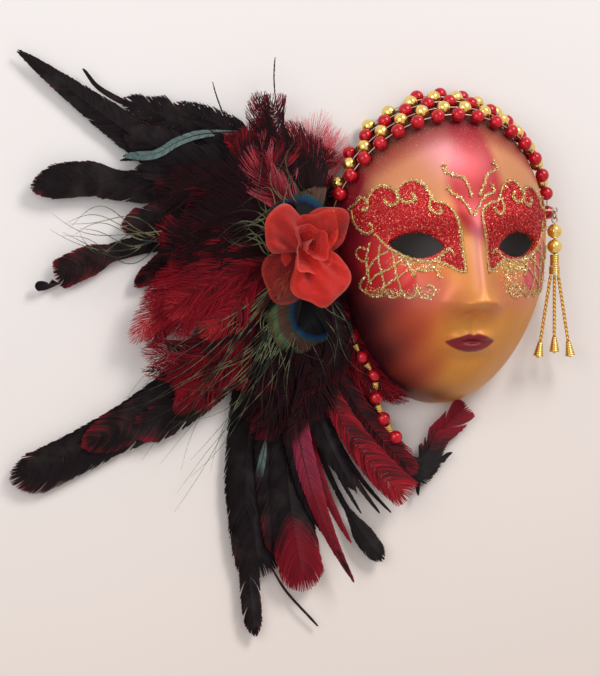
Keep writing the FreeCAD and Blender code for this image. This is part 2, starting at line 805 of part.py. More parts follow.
def make_strand(name, place_in_row, middle):
    """Twisted cord that hangs from the collar, with a flared bell and a round tip."""
    spacing = size("cord_diameter") + size("cord_gap")
    top = middle + V(place_in_row * spacing, 0, 0)
    lean = radians(size("strand_splay")) * place_in_row
    down = V(sin(lean), 0, -cos(lean))
    longer = 0 if place_in_row == 0 else 1
    length = size("cord_length") + longer * size("cord_stagger")

    cord = piece(f"strand_{name}_cord", "Part::Cylinder")
    bind(cord, Radius="sizes.cord_diameter / 2",
         Height=f"sizes.cord_length + {longer} * sizes.cord_stagger")
    aim(cord, top, down)

    bell = revolve(f"strand_{name}_bell", [
        ("0", "0"), ("sizes.cord_diameter / 2 + 0.3", "0"),
        ("sizes.bell_diameter / 2", "sizes.bell_length"),
        ("sizes.bell_diameter / 2 - sizes.bell_wall", "sizes.bell_length"),
        ("sizes.tip_diameter / 2 + sizes.fit_gap", "sizes.bell_length - sizes.bell_mouth"),
        ("0", "sizes.bell_length - sizes.bell_mouth")])
    aim(bell, top + down * length, down)

    tip = piece(f"strand_{name}_tip", "Part::Sphere")
    bind(tip, Radius="sizes.tip_diameter / 2")
    reach = length + size("bell_length") - size("bell_mouth") + size("link_play")
    reach += size("tip_diameter") / 2
    aim(tip, top + down * reach, down)


# ------------------------------------------------------------------ build

make_shell()
make_pad()
make_glue_core()
for name, reach, width, bow, side, heading, layer in FEATHERS:
    make_feather(name, side, heading, layer)
make_hook()
for name, heading, layer in PEACOCKS:
    make_peacock(name, heading, layer)
make_flower()
bead = bead_blank("bead", "Part::Sphere", Radius="sizes.bead_diameter / 2")
cone = bead_blank("cone", "Part::Cone", Radius1="sizes.cone_diameter / 2",
                  Radius2="sizes.cone_diameter / 2 - 0.9", Height="sizes.cone_length")
make_bead_cap(bead)
make_cheek_strand(bead, cone)
make_tassel()
doc.recompute()

for thing in doc.Objects:
    if "Invalid" in thing.State or "Error" in thing.State:
        raise RuntimeError(f"{thing.Label} failed: {thing.State}")
for thing in pieces:
    if thing.Shape.isNull() or not thing.Shape.isValid():
        raise RuntimeError(f"{thing.Label} has no valid shape")

os.makedirs("parts", exist_ok=True)
for thing in pieces:
    thing.Shape.exportStep(os.path.join("parts", f"{thing.Label}.step"))
print(len(pieces), "pieces written")
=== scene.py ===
"""Venetian masquerade mask on a wall: painted papier-mache face with raised glitter scrolls,
a cap and a cheek strand of beads, a spray of feathers under an organza flower, a bead tassel.
"""

from math import atan2, cos, hypot, pi, radians, sin

import bpy
import numpy as np
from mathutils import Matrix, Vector


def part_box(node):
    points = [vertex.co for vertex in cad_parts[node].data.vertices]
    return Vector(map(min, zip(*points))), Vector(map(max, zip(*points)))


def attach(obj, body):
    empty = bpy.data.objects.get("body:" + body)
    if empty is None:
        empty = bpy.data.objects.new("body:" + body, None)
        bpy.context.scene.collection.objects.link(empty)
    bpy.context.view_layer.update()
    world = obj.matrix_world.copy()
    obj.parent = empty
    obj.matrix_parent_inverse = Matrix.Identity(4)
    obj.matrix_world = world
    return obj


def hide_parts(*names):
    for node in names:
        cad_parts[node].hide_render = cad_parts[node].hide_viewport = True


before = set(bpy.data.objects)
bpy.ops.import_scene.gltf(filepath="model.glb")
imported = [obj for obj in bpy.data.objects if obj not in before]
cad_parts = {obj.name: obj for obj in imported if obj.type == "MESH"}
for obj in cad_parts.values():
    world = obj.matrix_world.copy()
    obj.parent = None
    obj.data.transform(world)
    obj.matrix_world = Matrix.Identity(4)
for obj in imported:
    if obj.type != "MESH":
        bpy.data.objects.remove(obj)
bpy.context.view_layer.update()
scene = bpy.context.scene
mm = 0.001


# ------------------------------------------------------------------ room
# The mask hangs flat on a pale painted wall that curves down to the floor. A broad lamp
# above and to the right and a weaker one on the left light it softly, in a white room.

class Flow:
    """An output of a node. Arithmetic on it adds Math or Vector Math nodes to its tree."""

    def __init__(self, tree, socket):
        self.tree, self.socket = tree, socket

    def out(self, name):
        node = self.socket.node
        return Flow(self.tree, next(s for s in node.outputs if s.name == name and s.enabled))

    def math(self, operation, *others):
        return calc(self.tree, operation, self, *others)


def arithmetic(operation, turned):
    """What a Flow does for an operator, as the first or, when turned, the second of two."""
    if turned:
        return lambda flow, other: calc(flow.tree, operation, other, flow)
    return lambda flow, other: calc(flow.tree, operation, flow, other)


for sign, operation in (("add", "ADD"), ("sub", "SUBTRACT"), ("mul", "MULTIPLY"),
                        ("truediv", "DIVIDE"), ("pow", "POWER")):
    setattr(Flow, f"__{sign}__", arithmetic(operation, False))
    setattr(Flow, f"__r{sign}__", arithmetic(operation, True))


def is_wide(thing):
    """True for a vector or a colour, False for a number."""
    if isinstance(thing, Flow):
        return thing.socket.type in ("VECTOR", "RGBA", "ROTATION")
    return hasattr(thing, "__len__")


def feed(tree, socket, value):
    """Links a flow to a socket, or writes a plain value in it."""
    if isinstance(value, Flow):
        tree.links.new(value.socket, socket)
        return
    held = getattr(socket, "default_value", None)
    if hasattr(held, "__len__") and not isinstance(held, str):
        if not hasattr(value, "__len__"):
            value = [value] * len(held)
        elif len(value) < len(held):
            value = [*value, 1.0]
    socket.default_value = value


def calc(tree, operation, *values):
    wide = any(is_wide(value) for value in values)
    node = tree.nodes.new("ShaderNodeVectorMath" if wide else "ShaderNodeMath")
    node.operation = operation
    for socket, value in zip(node.inputs, values):
        feed(tree, socket, value)
    return Flow(tree, next(s for s in node.outputs if s.enabled))


class Tree:
    """A node tree, with the one way by which every other node is added to it."""

    def __init__(self, tree):
        self.tree = tree
        tree.nodes.clear()

    def node(self, kind, settings=None, values=None):
        """A node of that kind: its settings first, then what its sockets hold or read."""
        made = self.tree.nodes.new(kind)
        for name, value in (settings or {}).items():
            if name == "stops":
                ramp = made.color_ramp
                while len(ramp.elements) < len(value):
                    ramp.elements.new(0.5)
                for element, (position, colour) in zip(ramp.elements, value):
                    element.position = position
                    element.color = (*colour, 1.0)
            else:
                setattr(made, name, value)
        for name, value in (values or {}).items():
            socket = made.inputs[name] if isinstance(name, int) else next(
                s for s in made.inputs if s.name == name and s.enabled)
            feed(self.tree, socket, value)
        first = next((s for s in made.outputs if s.enabled), None)
        return Flow(self.tree, first) if first else made

    def blend(self, factor, first, second):
        """Colour that goes from the first to the second as the factor goes from 0 to 1."""
        return self.node("ShaderNodeMix", {"data_type": "RGBA"},
                         {"Factor": factor, "A": first, "B": second})

    def step(self, value, low, high):
        """0 below low, 1 above high, smooth between them."""
        return self.node("ShaderNodeMapRange", {"interpolation_type": "SMOOTHSTEP"},
                         {"Value": value, "From Min": low, "From Max": high})

    def noise(self, where, scale, detail=2.0, roughness=0.5):
        return self.node("ShaderNodeTexNoise", {}, {
            "Vector": where, "Scale": scale, "Detail": detail, "Roughness": roughness})

    def object_place(self):
        """Object coordinates in millimetres."""
        return self.node("ShaderNodeTexCoord").out("Object") * 1000.0

    def cloud(self, scale, detail=2.0, roughness=0.5):
        """Noise over the piece, by its Object coordinates."""
        return self.noise(self.object_place(), scale, detail, roughness)

    def read(self, *names):
        """The numbers that a mesh holds under these names, for its material."""
        read = [self.node("ShaderNodeAttribute", {"attribute_name": name}).out("Fac")
                for name in names]
        return read if len(read) > 1 else read[0]

    def axes(self, vector):
        split = self.node("ShaderNodeSeparateXYZ", {}, {0: vector})
        return split, split.out("Y"), split.out("Z")

    def bump(self, height, strength, distance=0.1 * mm):
        return self.node("ShaderNodeBump", {}, {
            "Strength": strength, "Distance": distance, "Height": height})


def tone(red, green, blue):
    """A display colour, each part from 0 to 255, as the linear values that nodes hold."""
    parts = [value / 255.0 for value in (red, green, blue)]
    return tuple(p / 12.92 if p <= 0.04045 else ((p + 0.055) / 1.055) ** 2.4 for p in parts)


def finish_named(name, recipe, **fixed):
    """A material: what varies comes from the recipe, the rest is written on the shader."""
    material = bpy.data.materials.new(name)
    material.use_nodes = True
    tree = Tree(material.node_tree)
    values = {label.replace("_", " ").title().replace("Ior", "IOR"): value
              for label, value in fixed.items()}
    values.update(recipe(tree))
    shader = tree.node("ShaderNodeBsdfPrincipled", {}, values)
    tree.node("ShaderNodeOutputMaterial", {}, {"Surface": shader})
    return material


def camera_and_light():
    turn, rise, away = radians(-22.0), radians(2.5), 2.2
    aim = Vector((-0.0862, -0.015, -0.0452))
    lens, nearest, farthest = 217.0, 0.01, 20.0
    back = Vector((sin(turn) * cos(rise), -cos(turn) * cos(rise), sin(rise)))
    view = bpy.data.cameras.new("camera")
    view.lens, view.clip_start, view.clip_end = lens, nearest, farthest
    eye = bpy.data.objects.new("camera", view)
    eye.location = aim + back * away
    eye.rotation_euler = back.to_track_quat("Z", "Y").to_euler()
    scene.collection.objects.link(eye)
    scene.camera = eye

    lit = Vector((-0.05, 0.0, 0.0))
    lamps = {  # name: (place, width, watts, colour)
        "key_lamp": ((0.55, -1.05, 1.15), 0.7, 15.5, (1.0, 0.97, 0.94)),
        "fill_lamp": ((-1.1, -1.0, 0.35), 1.0, 7.0, (0.97, 0.98, 1.0)),
    }
    for name, (place, width, watts, colour) in lamps.items():
        light = bpy.data.lights.new(name, "AREA")
        light.shape, light.size = "DISK", width
        light.energy, light.color = watts, colour
        lamp = bpy.data.objects.new(name, light)
        lamp.location = place
        toward = Vector(place) - lit
        lamp.rotation_euler = toward.to_track_quat("Z", "Y").to_euler()
        scene.collection.objects.link(lamp)

    world = bpy.data.worlds.new("room")
    world.use_nodes = True
    scene.world = world
    tree = Tree(world.node_tree)
    ray = tree.node("ShaderNodeLightPath")
    seen = ray.math("MAXIMUM", ray.out("Is Glossy Ray")).math(
        "MAXIMUM", ray.out("Is Transmission Ray"))
    colour = tree.blend(seen, tone(178, 174, 172), tone(232, 227, 224))
    light = tree.node("ShaderNodeBackground", {}, {"Color": colour, "Strength": 1.0})
    tree.node("ShaderNodeOutputWorld", {}, {"Surface": light})


def wall_and_floor():
    """A sheet that comes down behind the mask and turns forward into the floor."""
    behind, top, floor, front, half = 0.0006, 1.3, -0.62, -1.8, 1.6
    bend, steps = 0.16, 12
    profile = [(behind, top)]
    for step in range(steps + 1):
        angle = radians(90.0 * step / steps)
        profile.append((behind - bend + bend * cos(angle), floor + bend - bend * sin(angle)))
    profile.append((front, floor))
    points = [(x, y, z) for y, z in profile for x in (-half, half)]
    faces = [(2 * i + 2, 2 * i + 3, 2 * i + 1, 2 * i) for i in range(len(profile) - 1)]
    mesh = bpy.data.meshes.new("wall")
    mesh.from_pydata(points, [], faces)
    mesh.shade_smooth()
    wall = bpy.data.objects.new("wall", mesh)
    scene.collection.objects.link(wall)
    wall.visible_diffuse = wall.visible_shadow = False

    material = bpy.data.materials.new("wall_paint")
    material.use_nodes = True
    tree = Tree(material.node_tree)
    place = tree.object_place()
    east, _, up = tree.axes(place)
    # Painted shade: the wall is painted slightly darker and warmer toward the bottom.
    warm = tree.step(up * -1.0 + east * 0.15, -120.0, 320.0)
    mottle = tree.noise(place, 0.006, 3.0)
    colour = tree.blend(warm, tone(243, 240, 240), tone(242, 230, 222))
    colour = tree.blend(mottle * 0.25, colour, tone(232, 222, 216))
    paint = tree.node("ShaderNodeBsdfDiffuse", {}, {"Color": colour})
    clear = tree.node("ShaderNodeBsdfTransparent")
    behind = tree.node("ShaderNodeNewGeometry").out("Backfacing")
    both = tree.node("ShaderNodeMixShader", {}, {0: behind, 1: paint, 2: clear})
    tree.node("ShaderNodeOutputMaterial", {}, {"Surface": both})
    mesh.materials.append(material)


camera_and_light()
wall_and_floor()
scene.view_settings.view_transform = "Standard"


# ------------------------------------------------------------------ tassel cords
# Three short ropes of twisted gold yarn hang side by side from the collar of the tassel, and
# each ends in the cup of its bell. Two plies are laid round each other with a tight twist.

def add_object(name, mesh):
    thing = bpy.data.objects.new(name, mesh)
    scene.collection.objects.link(thing)
    return thing


def plain_mesh(thing):
    """The object's evaluated shape as a mesh of its own."""
    depsgraph = bpy.context.evaluated_depsgraph_get()
    depsgraph.update()
    return bpy.data.meshes.new_from_object(thing.evaluated_get(depsgraph))


def mesh_of(name, points, faces, *finishes):
    """A smooth mesh with these finishes."""
    mesh = bpy.data.meshes.new(name)
    mesh.from_pydata([tuple(p) for p in points], [], [tuple(f) for f in faces])
    mesh.update()
    mesh.shade_smooth()
    for finish in finishes:
        mesh.materials.append(finish)
    return mesh


def hand_over(thing, body, node=None):
    """Hides the CAD node that the piece stands for, and hangs the piece on what it rides on."""
    if node:
        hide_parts(node)
    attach(thing, body)


def line_of(points):
    """Points along the smooth open NURBS line with these control points."""
    data = bpy.data.curves.new("route", "CURVE")
    data.dimensions = "3D"
    spline = data.splines.new("NURBS")
    spline.points.add(len(points) - 1)
    for point, place in zip(spline.points, points):
        point.co = (*place, 1.0)
    spline.order_u, spline.use_endpoint_u, spline.resolution_u = 3, True, 12
    route = add_object("route", data)
    line = np.array([tuple(v.co) for v in plain_mesh(route).vertices])
    bpy.data.objects.remove(route)
    return line


def even(line, count):
    """The same line as so many points at equal steps."""
    steps = np.linalg.norm(np.diff(line, axis=0), axis=1)
    reach = np.concatenate([[0.0], np.cumsum(steps)])
    at = np.linspace(0.0, reach[-1], count)
    return np.stack([np.interp(at, reach, line[:, k]) for k in range(3)], axis=1)


def tube_faces(rows, sides):
    """Faces round rings of points, with the first and the last ring filled."""
    faces = []
    for i in range(rows - 1):
        for k in range(sides):
            n = (k + 1) % sides
            a, b = i * sides, (i + 1) * sides
            faces.append((a + k, a + n, b + n, b + k))
    faces.append(tuple(range(sides - 1, -1, -1)))
    faces.append(tuple(range((rows - 1) * sides, rows * sides)))
    return faces


def tube(line, radii, sides):
    """Points and faces of a round tube with these radii along the line."""
    ways = np.gradient(line, axis=0)
    ways /= np.linalg.norm(ways, axis=1)[:, None]
    askew = np.array([0.31, 0.87, 0.38])
    side = np.cross(ways, askew)
    side /= np.linalg.norm(side, axis=1)[:, None]
    other = np.cross(ways, side)
    angle = np.linspace(0, 2 * pi, sides, endpoint=False)
    ring = (np.cos(angle)[None, :, None] * side[:, None] +
            np.sin(angle)[None, :, None] * other[:, None])
    points = (line[:, None] + ring * np.asarray(radii)[:, None, None]).reshape(-1, 3)
    return points, tube_faces(len(line), sides)


def joined(parts):
    """Several (points, faces) as one."""
    points, faces, start = [], [], 0
    for some, corners in parts:
        points.append(np.asarray(some, float))
        faces += [tuple(c + start for c in face) for face in corners]
        start += len(some)
    return np.concatenate(points), faces


def gold_yarn(tree):
    grain = tree.cloud(9.0)
    colour = tree.blend(tree.step(grain, 0.3, 0.7), tone(176, 118, 44), tone(246, 206, 118))
    return {"Base Color": colour, "Roughness": tree.step(grain, 0.0, 1.0) * 0.25 + 0.25,
            "Normal": tree.bump(grain, 0.4)}


yarn = finish_named("gold_yarn", gold_yarn, metallic=0.75)
CORD_WIDTH, PLY_TURNS, PLY_SIDES, CORD_POINTS = 2.0 * mm, 7.5, 8, 90
PLY_OFF, PLY_RADIUS = 0.24 * CORD_WIDTH, 0.27 * CORD_WIDTH
TOP_STEP, SPLAY, COLLAR_GAP = 2.4, radians(9.5), 0.75 * mm
cords = {"left": (-1, 37.0), "middle": (0, 34.0), "right": (1, 37.0)}  # side, length
collar_low, collar_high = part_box("tassel_collar")
hang_x, hang_y = (collar_low.x + collar_high.x) / 2, (collar_low.y + collar_high.y) / 2
for name, (hand, length) in cords.items():
    lean, length = SPLAY * hand, length * mm
    top = Vector((hang_x + hand * TOP_STEP * mm, hang_y, collar_low.z - COLLAR_GAP))
    down = Vector((sin(lean), 0.0, -cos(lean)))
    route = [top + down * length * share for share in (0.0, 0.33, 0.67, 1.0)]
    line = even(line_of(route), CORD_POINTS)
    plies = []
    for ply in range(2):
        angle = np.linspace(0.0, 2 * pi * PLY_TURNS, len(line)) + pi * ply
        side = np.cross(np.array(down), (0.0, 1.0, 0.0))
        off = np.outer(np.cos(angle), side) + np.outer(np.sin(angle), (0.0, 1.0, 0.0))
        plies.append(tube(line + off * PLY_OFF, np.full(len(line), PLY_RADIUS), PLY_SIDES))
    cord = add_object(f"tassel_cord_{name}", mesh_of(f"tassel_cord_{name}", *joined(plies), yarn))
    hand_over(cord, f"strand_{name}", f"strand_{name}_cord")


# ------------------------------------------------------------------ mask shell
# The face is laid up from paper and glue in a mould, 2.5 mm thick, sanded, and painted with
# pearl paints; its inside is dark, which stands in for the shade behind the eye holes. The eye
# holes are cut out and their edges rounded.

HALF_WIDTH, HALF_HEIGHT, DEPTH, WALL = 62.0, 83.0, 54.0, 2.5
EYE_X, EYE_Z, EYE_LENGTH, EYE_OPENING, EYE_TILT = 30.0, 5.0, 28.0, 14.0, 4.0
NOSE_HEIGHT, NOSE_TIP_Z, MOUTH_Z = 15.0, -25.0, -47.0
LIP_HALF, EDGE_ROUND, FACE_CELLS = 14.5, 1.5, 216


# What stands out of the dome on both sides, or sinks into it: how far, the place across and
# up, half width, half height. The features in the middle are 0 across.
FEATURES = (
    (5.0, 9.5, NOSE_TIP_Z - 2.5, 4.0, 4.2),             # wings of the nose
    (3.0, 24.0, EYE_Z + 15.0, 17.0, 5.5),               # brows
    (-6.5, EYE_X - 3.0, EYE_Z, 12.0, 8.5),              # eye sockets
    (3.5, EYE_X + 3.0, NOSE_TIP_Z + 3.0, 14.0, 13.0),   # cheeks
    (4.5, 0.0, MOUTH_Z, 19.0, 12.0),                    # round the mouth
    (5.5, 0.0, MOUTH_Z - 24.0, 13.0, 9.0),              # chin
    (3.0, 0.0, EYE_Z + 42.0, 36.0, 24.0),               # forehead
    (2.4, EYE_X, EYE_Z, 13.0, 6.5),                     # lids
    (2.2, 3.8, MOUTH_Z + 2.9, 5.0, 1.9),                # upper lip
    (1.2, 8.2, MOUTH_Z + 1.4, 3.5, 1.6),
    (3.0, 0.0, MOUTH_Z - 3.4, 7.5, 2.3),                # lower lip
    (-1.0, 0.0, MOUTH_Z - 8.5, 8.0, 2.4),
    (-1.0, 0.0, MOUTH_Z + 10.0, 2.2, 4.0),              # under the nose
    (-1.6, 5.6, NOSE_TIP_Z - 6.2, 2.3, 1.3),            # nostrils
)


def hill(x, z, middle_x, middle_z, wide, tall):
    return np.exp(-0.5 * (((x - middle_x) / wide) ** 2 + ((z - middle_z) / tall) ** 2))


def relief(x, z):
    """How far the features of a calm, regular face stand out of the plain dome."""
    side, bridge = np.abs(x), EYE_Z + 6.0
    along = np.clip((bridge - z) / (bridge - NOSE_TIP_Z), 0.0, 1.0)
    height = NOSE_HEIGHT * (0.28 + 0.72 * along ** 1.3)
    height = height * np.exp(-(np.maximum(0.0, NOSE_TIP_Z - z) / 6.5) ** 2)
    height = height * np.exp(-(np.maximum(0.0, z - bridge) / 9.0) ** 2)
    out = height * np.exp(-0.5 * (x / (5.0 + 3.2 * along)) ** 2)
    for height, *place in FEATURES:
        out += height * hill(side, z, *place)
    out -= 1.6 * hill(x, z, 0.0, MOUTH_Z - 0.2 + 0.004 * x * x, 5.6, 0.8)  # between the lips
    return out


def face_point(turn, lift, inset=0.0):
    """Points of the face in millimetres: turn goes round the rim, lift from the middle out."""
    rim_x = (HALF_WIDTH - inset) * np.cos(turn) * (1.0 + 0.09 * np.sin(turn))
    rim_z = (HALF_HEIGHT - inset) * np.sin(turn)
    x, z = rim_x * np.sin(lift), rim_z * np.sin(lift)
    fade = np.sin(np.minimum(1.0, np.cos(lift) / 0.4) * pi / 2)
    y = -(DEPTH - inset) * np.cos(lift) - fade * relief(x, z)
    return np.stack([x, y, z], axis=-1)


def almond(x, z):
    """Distance outside the nearer eye hole, less than 0 in it."""
    tilt = radians(EYE_TILT) * np.sign(x)
    across, up = x - np.sign(x) * EYE_X, z - EYE_Z
    across, up = (across * np.cos(tilt) + up * np.sin(tilt),
                  up * np.cos(tilt) - across * np.sin(tilt))
    bow = (EYE_LENGTH ** 2 + EYE_OPENING ** 2) / (4 * EYE_OPENING)
    middle = bow - EYE_OPENING / 2
    return np.maximum(np.hypot(across, up + middle), np.hypot(across, up - middle)) - bow


def smooth(value, low, high):
    share = np.clip((value - low) / (high - low), 0.0, 1.0)
    return share * share * (3 - 2 * share)


def sheet_faces(rows, columns):
    """Four-sided faces of a sheet of so many rows and columns of cells."""
    row = columns + 1
    return [(j * row + i, j * row + i + 1, (j + 1) * row + i + 1, (j + 1) * row + i)
            for j in range(rows) for i in range(columns)]


def face_grid(cells):
    """Rows over the whole face, closer together at the features, with the eyes cut out."""
    s = np.linspace(-1.0, 1.0, cells + 1)
    u, v = np.meshgrid(s - 0.40 / pi * np.sin(pi * s),
                       s - 0.45 / pi * (np.sin(pi * (s + 0.2)) + sin(0.2 * pi)))
    x, z = u * np.sqrt(1 - v * v / 2), v * np.sqrt(1 - u * u / 2)
    turn, lift = np.arctan2(z, x).ravel(), np.hypot(x, z).ravel() * pi / 2
    lift = np.minimum(lift, pi / 2)
    place = face_point(turn, lift)
    gap = almond(place[:, 0], place[:, 2])
    made, cut = list(zip(lift * np.cos(turn), lift * np.sin(turn))), {}

    def crossing(a, b):
        """The new corner where the edge from a, outside, to b, inside, meets the hole."""
        if (a, b) not in cut:
            low, high = np.array(made[a]), np.array(made[b])
            for _ in range(12):
                middle = (low + high) / 2
                spot = face_point(atan2(middle[1], middle[0]), hypot(*middle))
                low, high = (middle, high) if almond(spot[0], spot[2]) > 0 else (low, middle)
            cut[a, b] = len(made)
            made.append(tuple(low))
        return cut[a, b]

    faces = []
    for quad in sheet_faces(cells, cells):
        ring = []
        for c, n in zip(quad, quad[1:] + quad[:1]):
            if gap[c] >= 0:
                ring.append(c)
            if (gap[c] >= 0) != (gap[n] >= 0):
                ring.append(crossing(c, n) if gap[c] >= 0 else crossing(n, c))
        if ring:
            faces.append(tuple(ring))
    used = sorted({c for face in faces for c in face})
    new = {old: k for k, old in enumerate(used)}
    across, up = np.array([made[c] for c in used]).T
    lift = np.minimum(np.hypot(across, up), pi / 2)
    return np.arctan2(up, across), lift, [tuple(new[c] for c in face) for face in faces]


def shell_mesh(cells):
    """Painted skin, dark inside and the edges between them, as one closed mesh."""
    turn, lift, faces = face_grid(cells)
    front = face_point(turn, lift)
    gap = almond(front[:, 0], front[:, 2])
    near = np.clip(EDGE_ROUND - gap, 0.0, EDGE_ROUND)
    front[:, 1] += EDGE_ROUND - np.sqrt(EDGE_ROUND ** 2 - near ** 2)
    back = face_point(turn, lift, WALL)
    back[:, 1] = np.maximum(back[:, 1], front[:, 1] + 0.6 * WALL * np.cos(lift))
    rim = lift > pi / 2 - 1e-6
    back[rim, 1] = 0.0
    count, sides = len(front), {}
    for face in faces:
        for a, b in zip(face, face[1:] + face[:1]):
            sides[a, b] = True
    edge = [(a, b) for a, b in sides if (b, a) not in sides]
    every = list(faces)
    every += [tuple(c + count for c in reversed(face)) for face in faces]
    every += [(b, a, a + count, b + count) for a, b in edge]
    mesh = mesh_of("mask_face", np.concatenate([front, back]) * mm, every)
    inner = np.zeros(len(mesh.polygons), np.int32)
    inner[len(faces):2 * len(faces)] = 1
    mesh.polygons.foreach_set("material_index", inner)
    return mesh, front, turn, lift


def keep(mesh, name, values):
    """A number for every point of the mesh, which its material reads by that name."""
    attribute = mesh.attributes.new(name, "FLOAT", "POINT")
    full = np.zeros(len(mesh.vertices), np.float32)
    full[:len(values)] = values
    attribute.data.foreach_set("value", full)


def lips(x, z):
    """Above 0 on the lips: a soft bow above, a full curve below."""
    share = np.minimum(np.abs(x) / LIP_HALF, 1.0)
    top = np.minimum(3.3 + 5.5 * share, 5.4 * (1.0 - share) ** 0.9)
    low = -5.8 * (1.0 - share ** 2) ** 0.8
    past = np.maximum(np.abs(x) - LIP_HALF, 0.0)
    return np.minimum(top - (z - MOUTH_Z), (z - MOUTH_Z) - low) - past


def face_paint(tree):
    """Gold and ochre pearl, crimson on the forehead, maroon airbrushed in from the left, with
    painted highlights on the forehead, nose and eye rims and painted shade under the bead cap.
    """
    place = tree.object_place()
    cloud, grain = tree.noise(place, 0.045, 3.0), tree.noise(place, 3.2)
    streak = tree.noise(place * (1.0, 1.0, 0.25), 0.5, 3.0)
    field, drop, hair, mouth, rosy = tree.read("field", "drop", "hair", "mouth", "rosy")
    colour = tree.blend(cloud, tone(200, 128, 44), tone(228, 166, 80))
    colour = tree.blend(streak * 0.35, colour, tone(210, 116, 48))
    net_tone = tree.blend(rosy, tone(196, 26, 30), tone(206, 66, 92))
    # Of these paints, lid is a painted highlight on the eye rims, pearl carries painted highlights
    # on the forehead and nose, and dark and crimson carry painted shade under the bead cap.
    for name, paint in (("warm", tone(208, 92, 36)), ("tan", tone(208, 140, 100)),
                        ("band", tone(172, 12, 33)), ("pearl", tone(232, 152, 166)),
                        ("crimson", tone(146, 18, 40)), ("dark", tone(52, 8, 22)),
                        ("net", net_tone), ("field", tone(200, 26, 36)),
                        ("drop", tone(165, 14, 34)), ("lid", tone(240, 186, 188)),
                        ("mouth", tone(126, 12, 28))):
        colour = tree.blend(tree.read(name), colour, paint)
    # Glitter specks along the hairline, painted pale as glints: painted highlights.
    glint_speck = tree.step(tree.noise(place, 1.6, 2.0, 0.7), 0.62, 0.74) * hair
    colour = tree.blend(glint_speck, colour, tone(232, 176, 150))
    red = field.math("MAXIMUM", drop)
    rough = 0.40 + cloud * 0.12 + red * 0.15 + hair * 0.1
    glitter = tree.node("ShaderNodeTexVoronoi", {"feature": "F1"}, {
        "Vector": place, "Scale": 2.6})
    height = grain * 0.15 + glitter * red * 2.0
    return {"Base Color": colour, "Roughness": rough, "Metallic": 0.34 - mouth * 0.3,
            "Normal": tree.bump(height, 0.35)}


def inside_painted_shade(tree):
    """Dark over torn paper: the dark stands in for the shade inside the mask, seen through the eye
    holes.
    """
    place = tree.object_place()
    torn = tree.node("ShaderNodeTexVoronoi", {"feature": "F1"}, {
        "Vector": place + tree.noise(place, 0.08, 3.0) * 9.0, "Scale": 0.07})
    brush = tree.noise(place * (1.0, 1.0, 0.2), 0.7, 3.0)
    colour = tree.blend(brush, tone(20, 11, 12), tone(44, 27, 25))
    colour = tree.blend(torn * 0.3, colour, tone(60, 42, 36))
    return {"Base Color": colour, "Roughness": brush * 0.2 + 0.7,
            "Normal": tree.bump(torn * 2.0 + brush, 0.5, 0.3 * mm)}


def within(x, z, outline):
    """True for the points inside a closed outline, by counting the edges to one side."""
    inside = np.zeros(len(x), bool)
    for (ax, az), (bx, bz) in zip(outline, np.roll(outline, -1, axis=0)):
        crosses = (az > z) != (bz > z)
        if az != bz:
            inside ^= crosses & (x < ax + (z - az) * (bx - ax) / (bz - az))
    return inside


def from_edge(x, z, outline):
    """Distance to a closed outline, more than 0 inside it."""
    best = np.full(len(x), np.inf)
    for a, b in zip(outline, np.roll(outline, -1, axis=0)):
        run = b - a
        share = np.clip(((x - a[0]) * run[0] + (z - a[1]) * run[1]) / max(run @ run, 1e-9), 0, 1)
        best = np.minimum(best, np.hypot(x - a[0] - share * run[0], z - a[1] - share * run[1]))
    return np.where(within(x, z, outline), best, -best)


def through(points, steps=8, closed=False):
    """A soft line through given points, in the plane of the face: (across, up) pairs."""
    points = np.asarray(points, float)
    if closed:
        points = np.concatenate([points[-1:], points, points[:2]])
    else:
        points = np.concatenate([[2 * points[0] - points[1]], points,
                                 [2 * points[-1] - points[-2]]])
    line = []
    for a, b, c, d in zip(points, points[1:], points[2:], points[3:]):
        for t in np.linspace(0.0, 1.0, steps, endpoint=False):
            line.append(0.5 * (2 * b + (c - a) * t + (2 * a - 5 * b + 4 * c - d) * t ** 2 +
                               (3 * b - a - 3 * c + d) * t ** 3))
    if not closed:
        line.append(points[-2])
    return np.array(line)


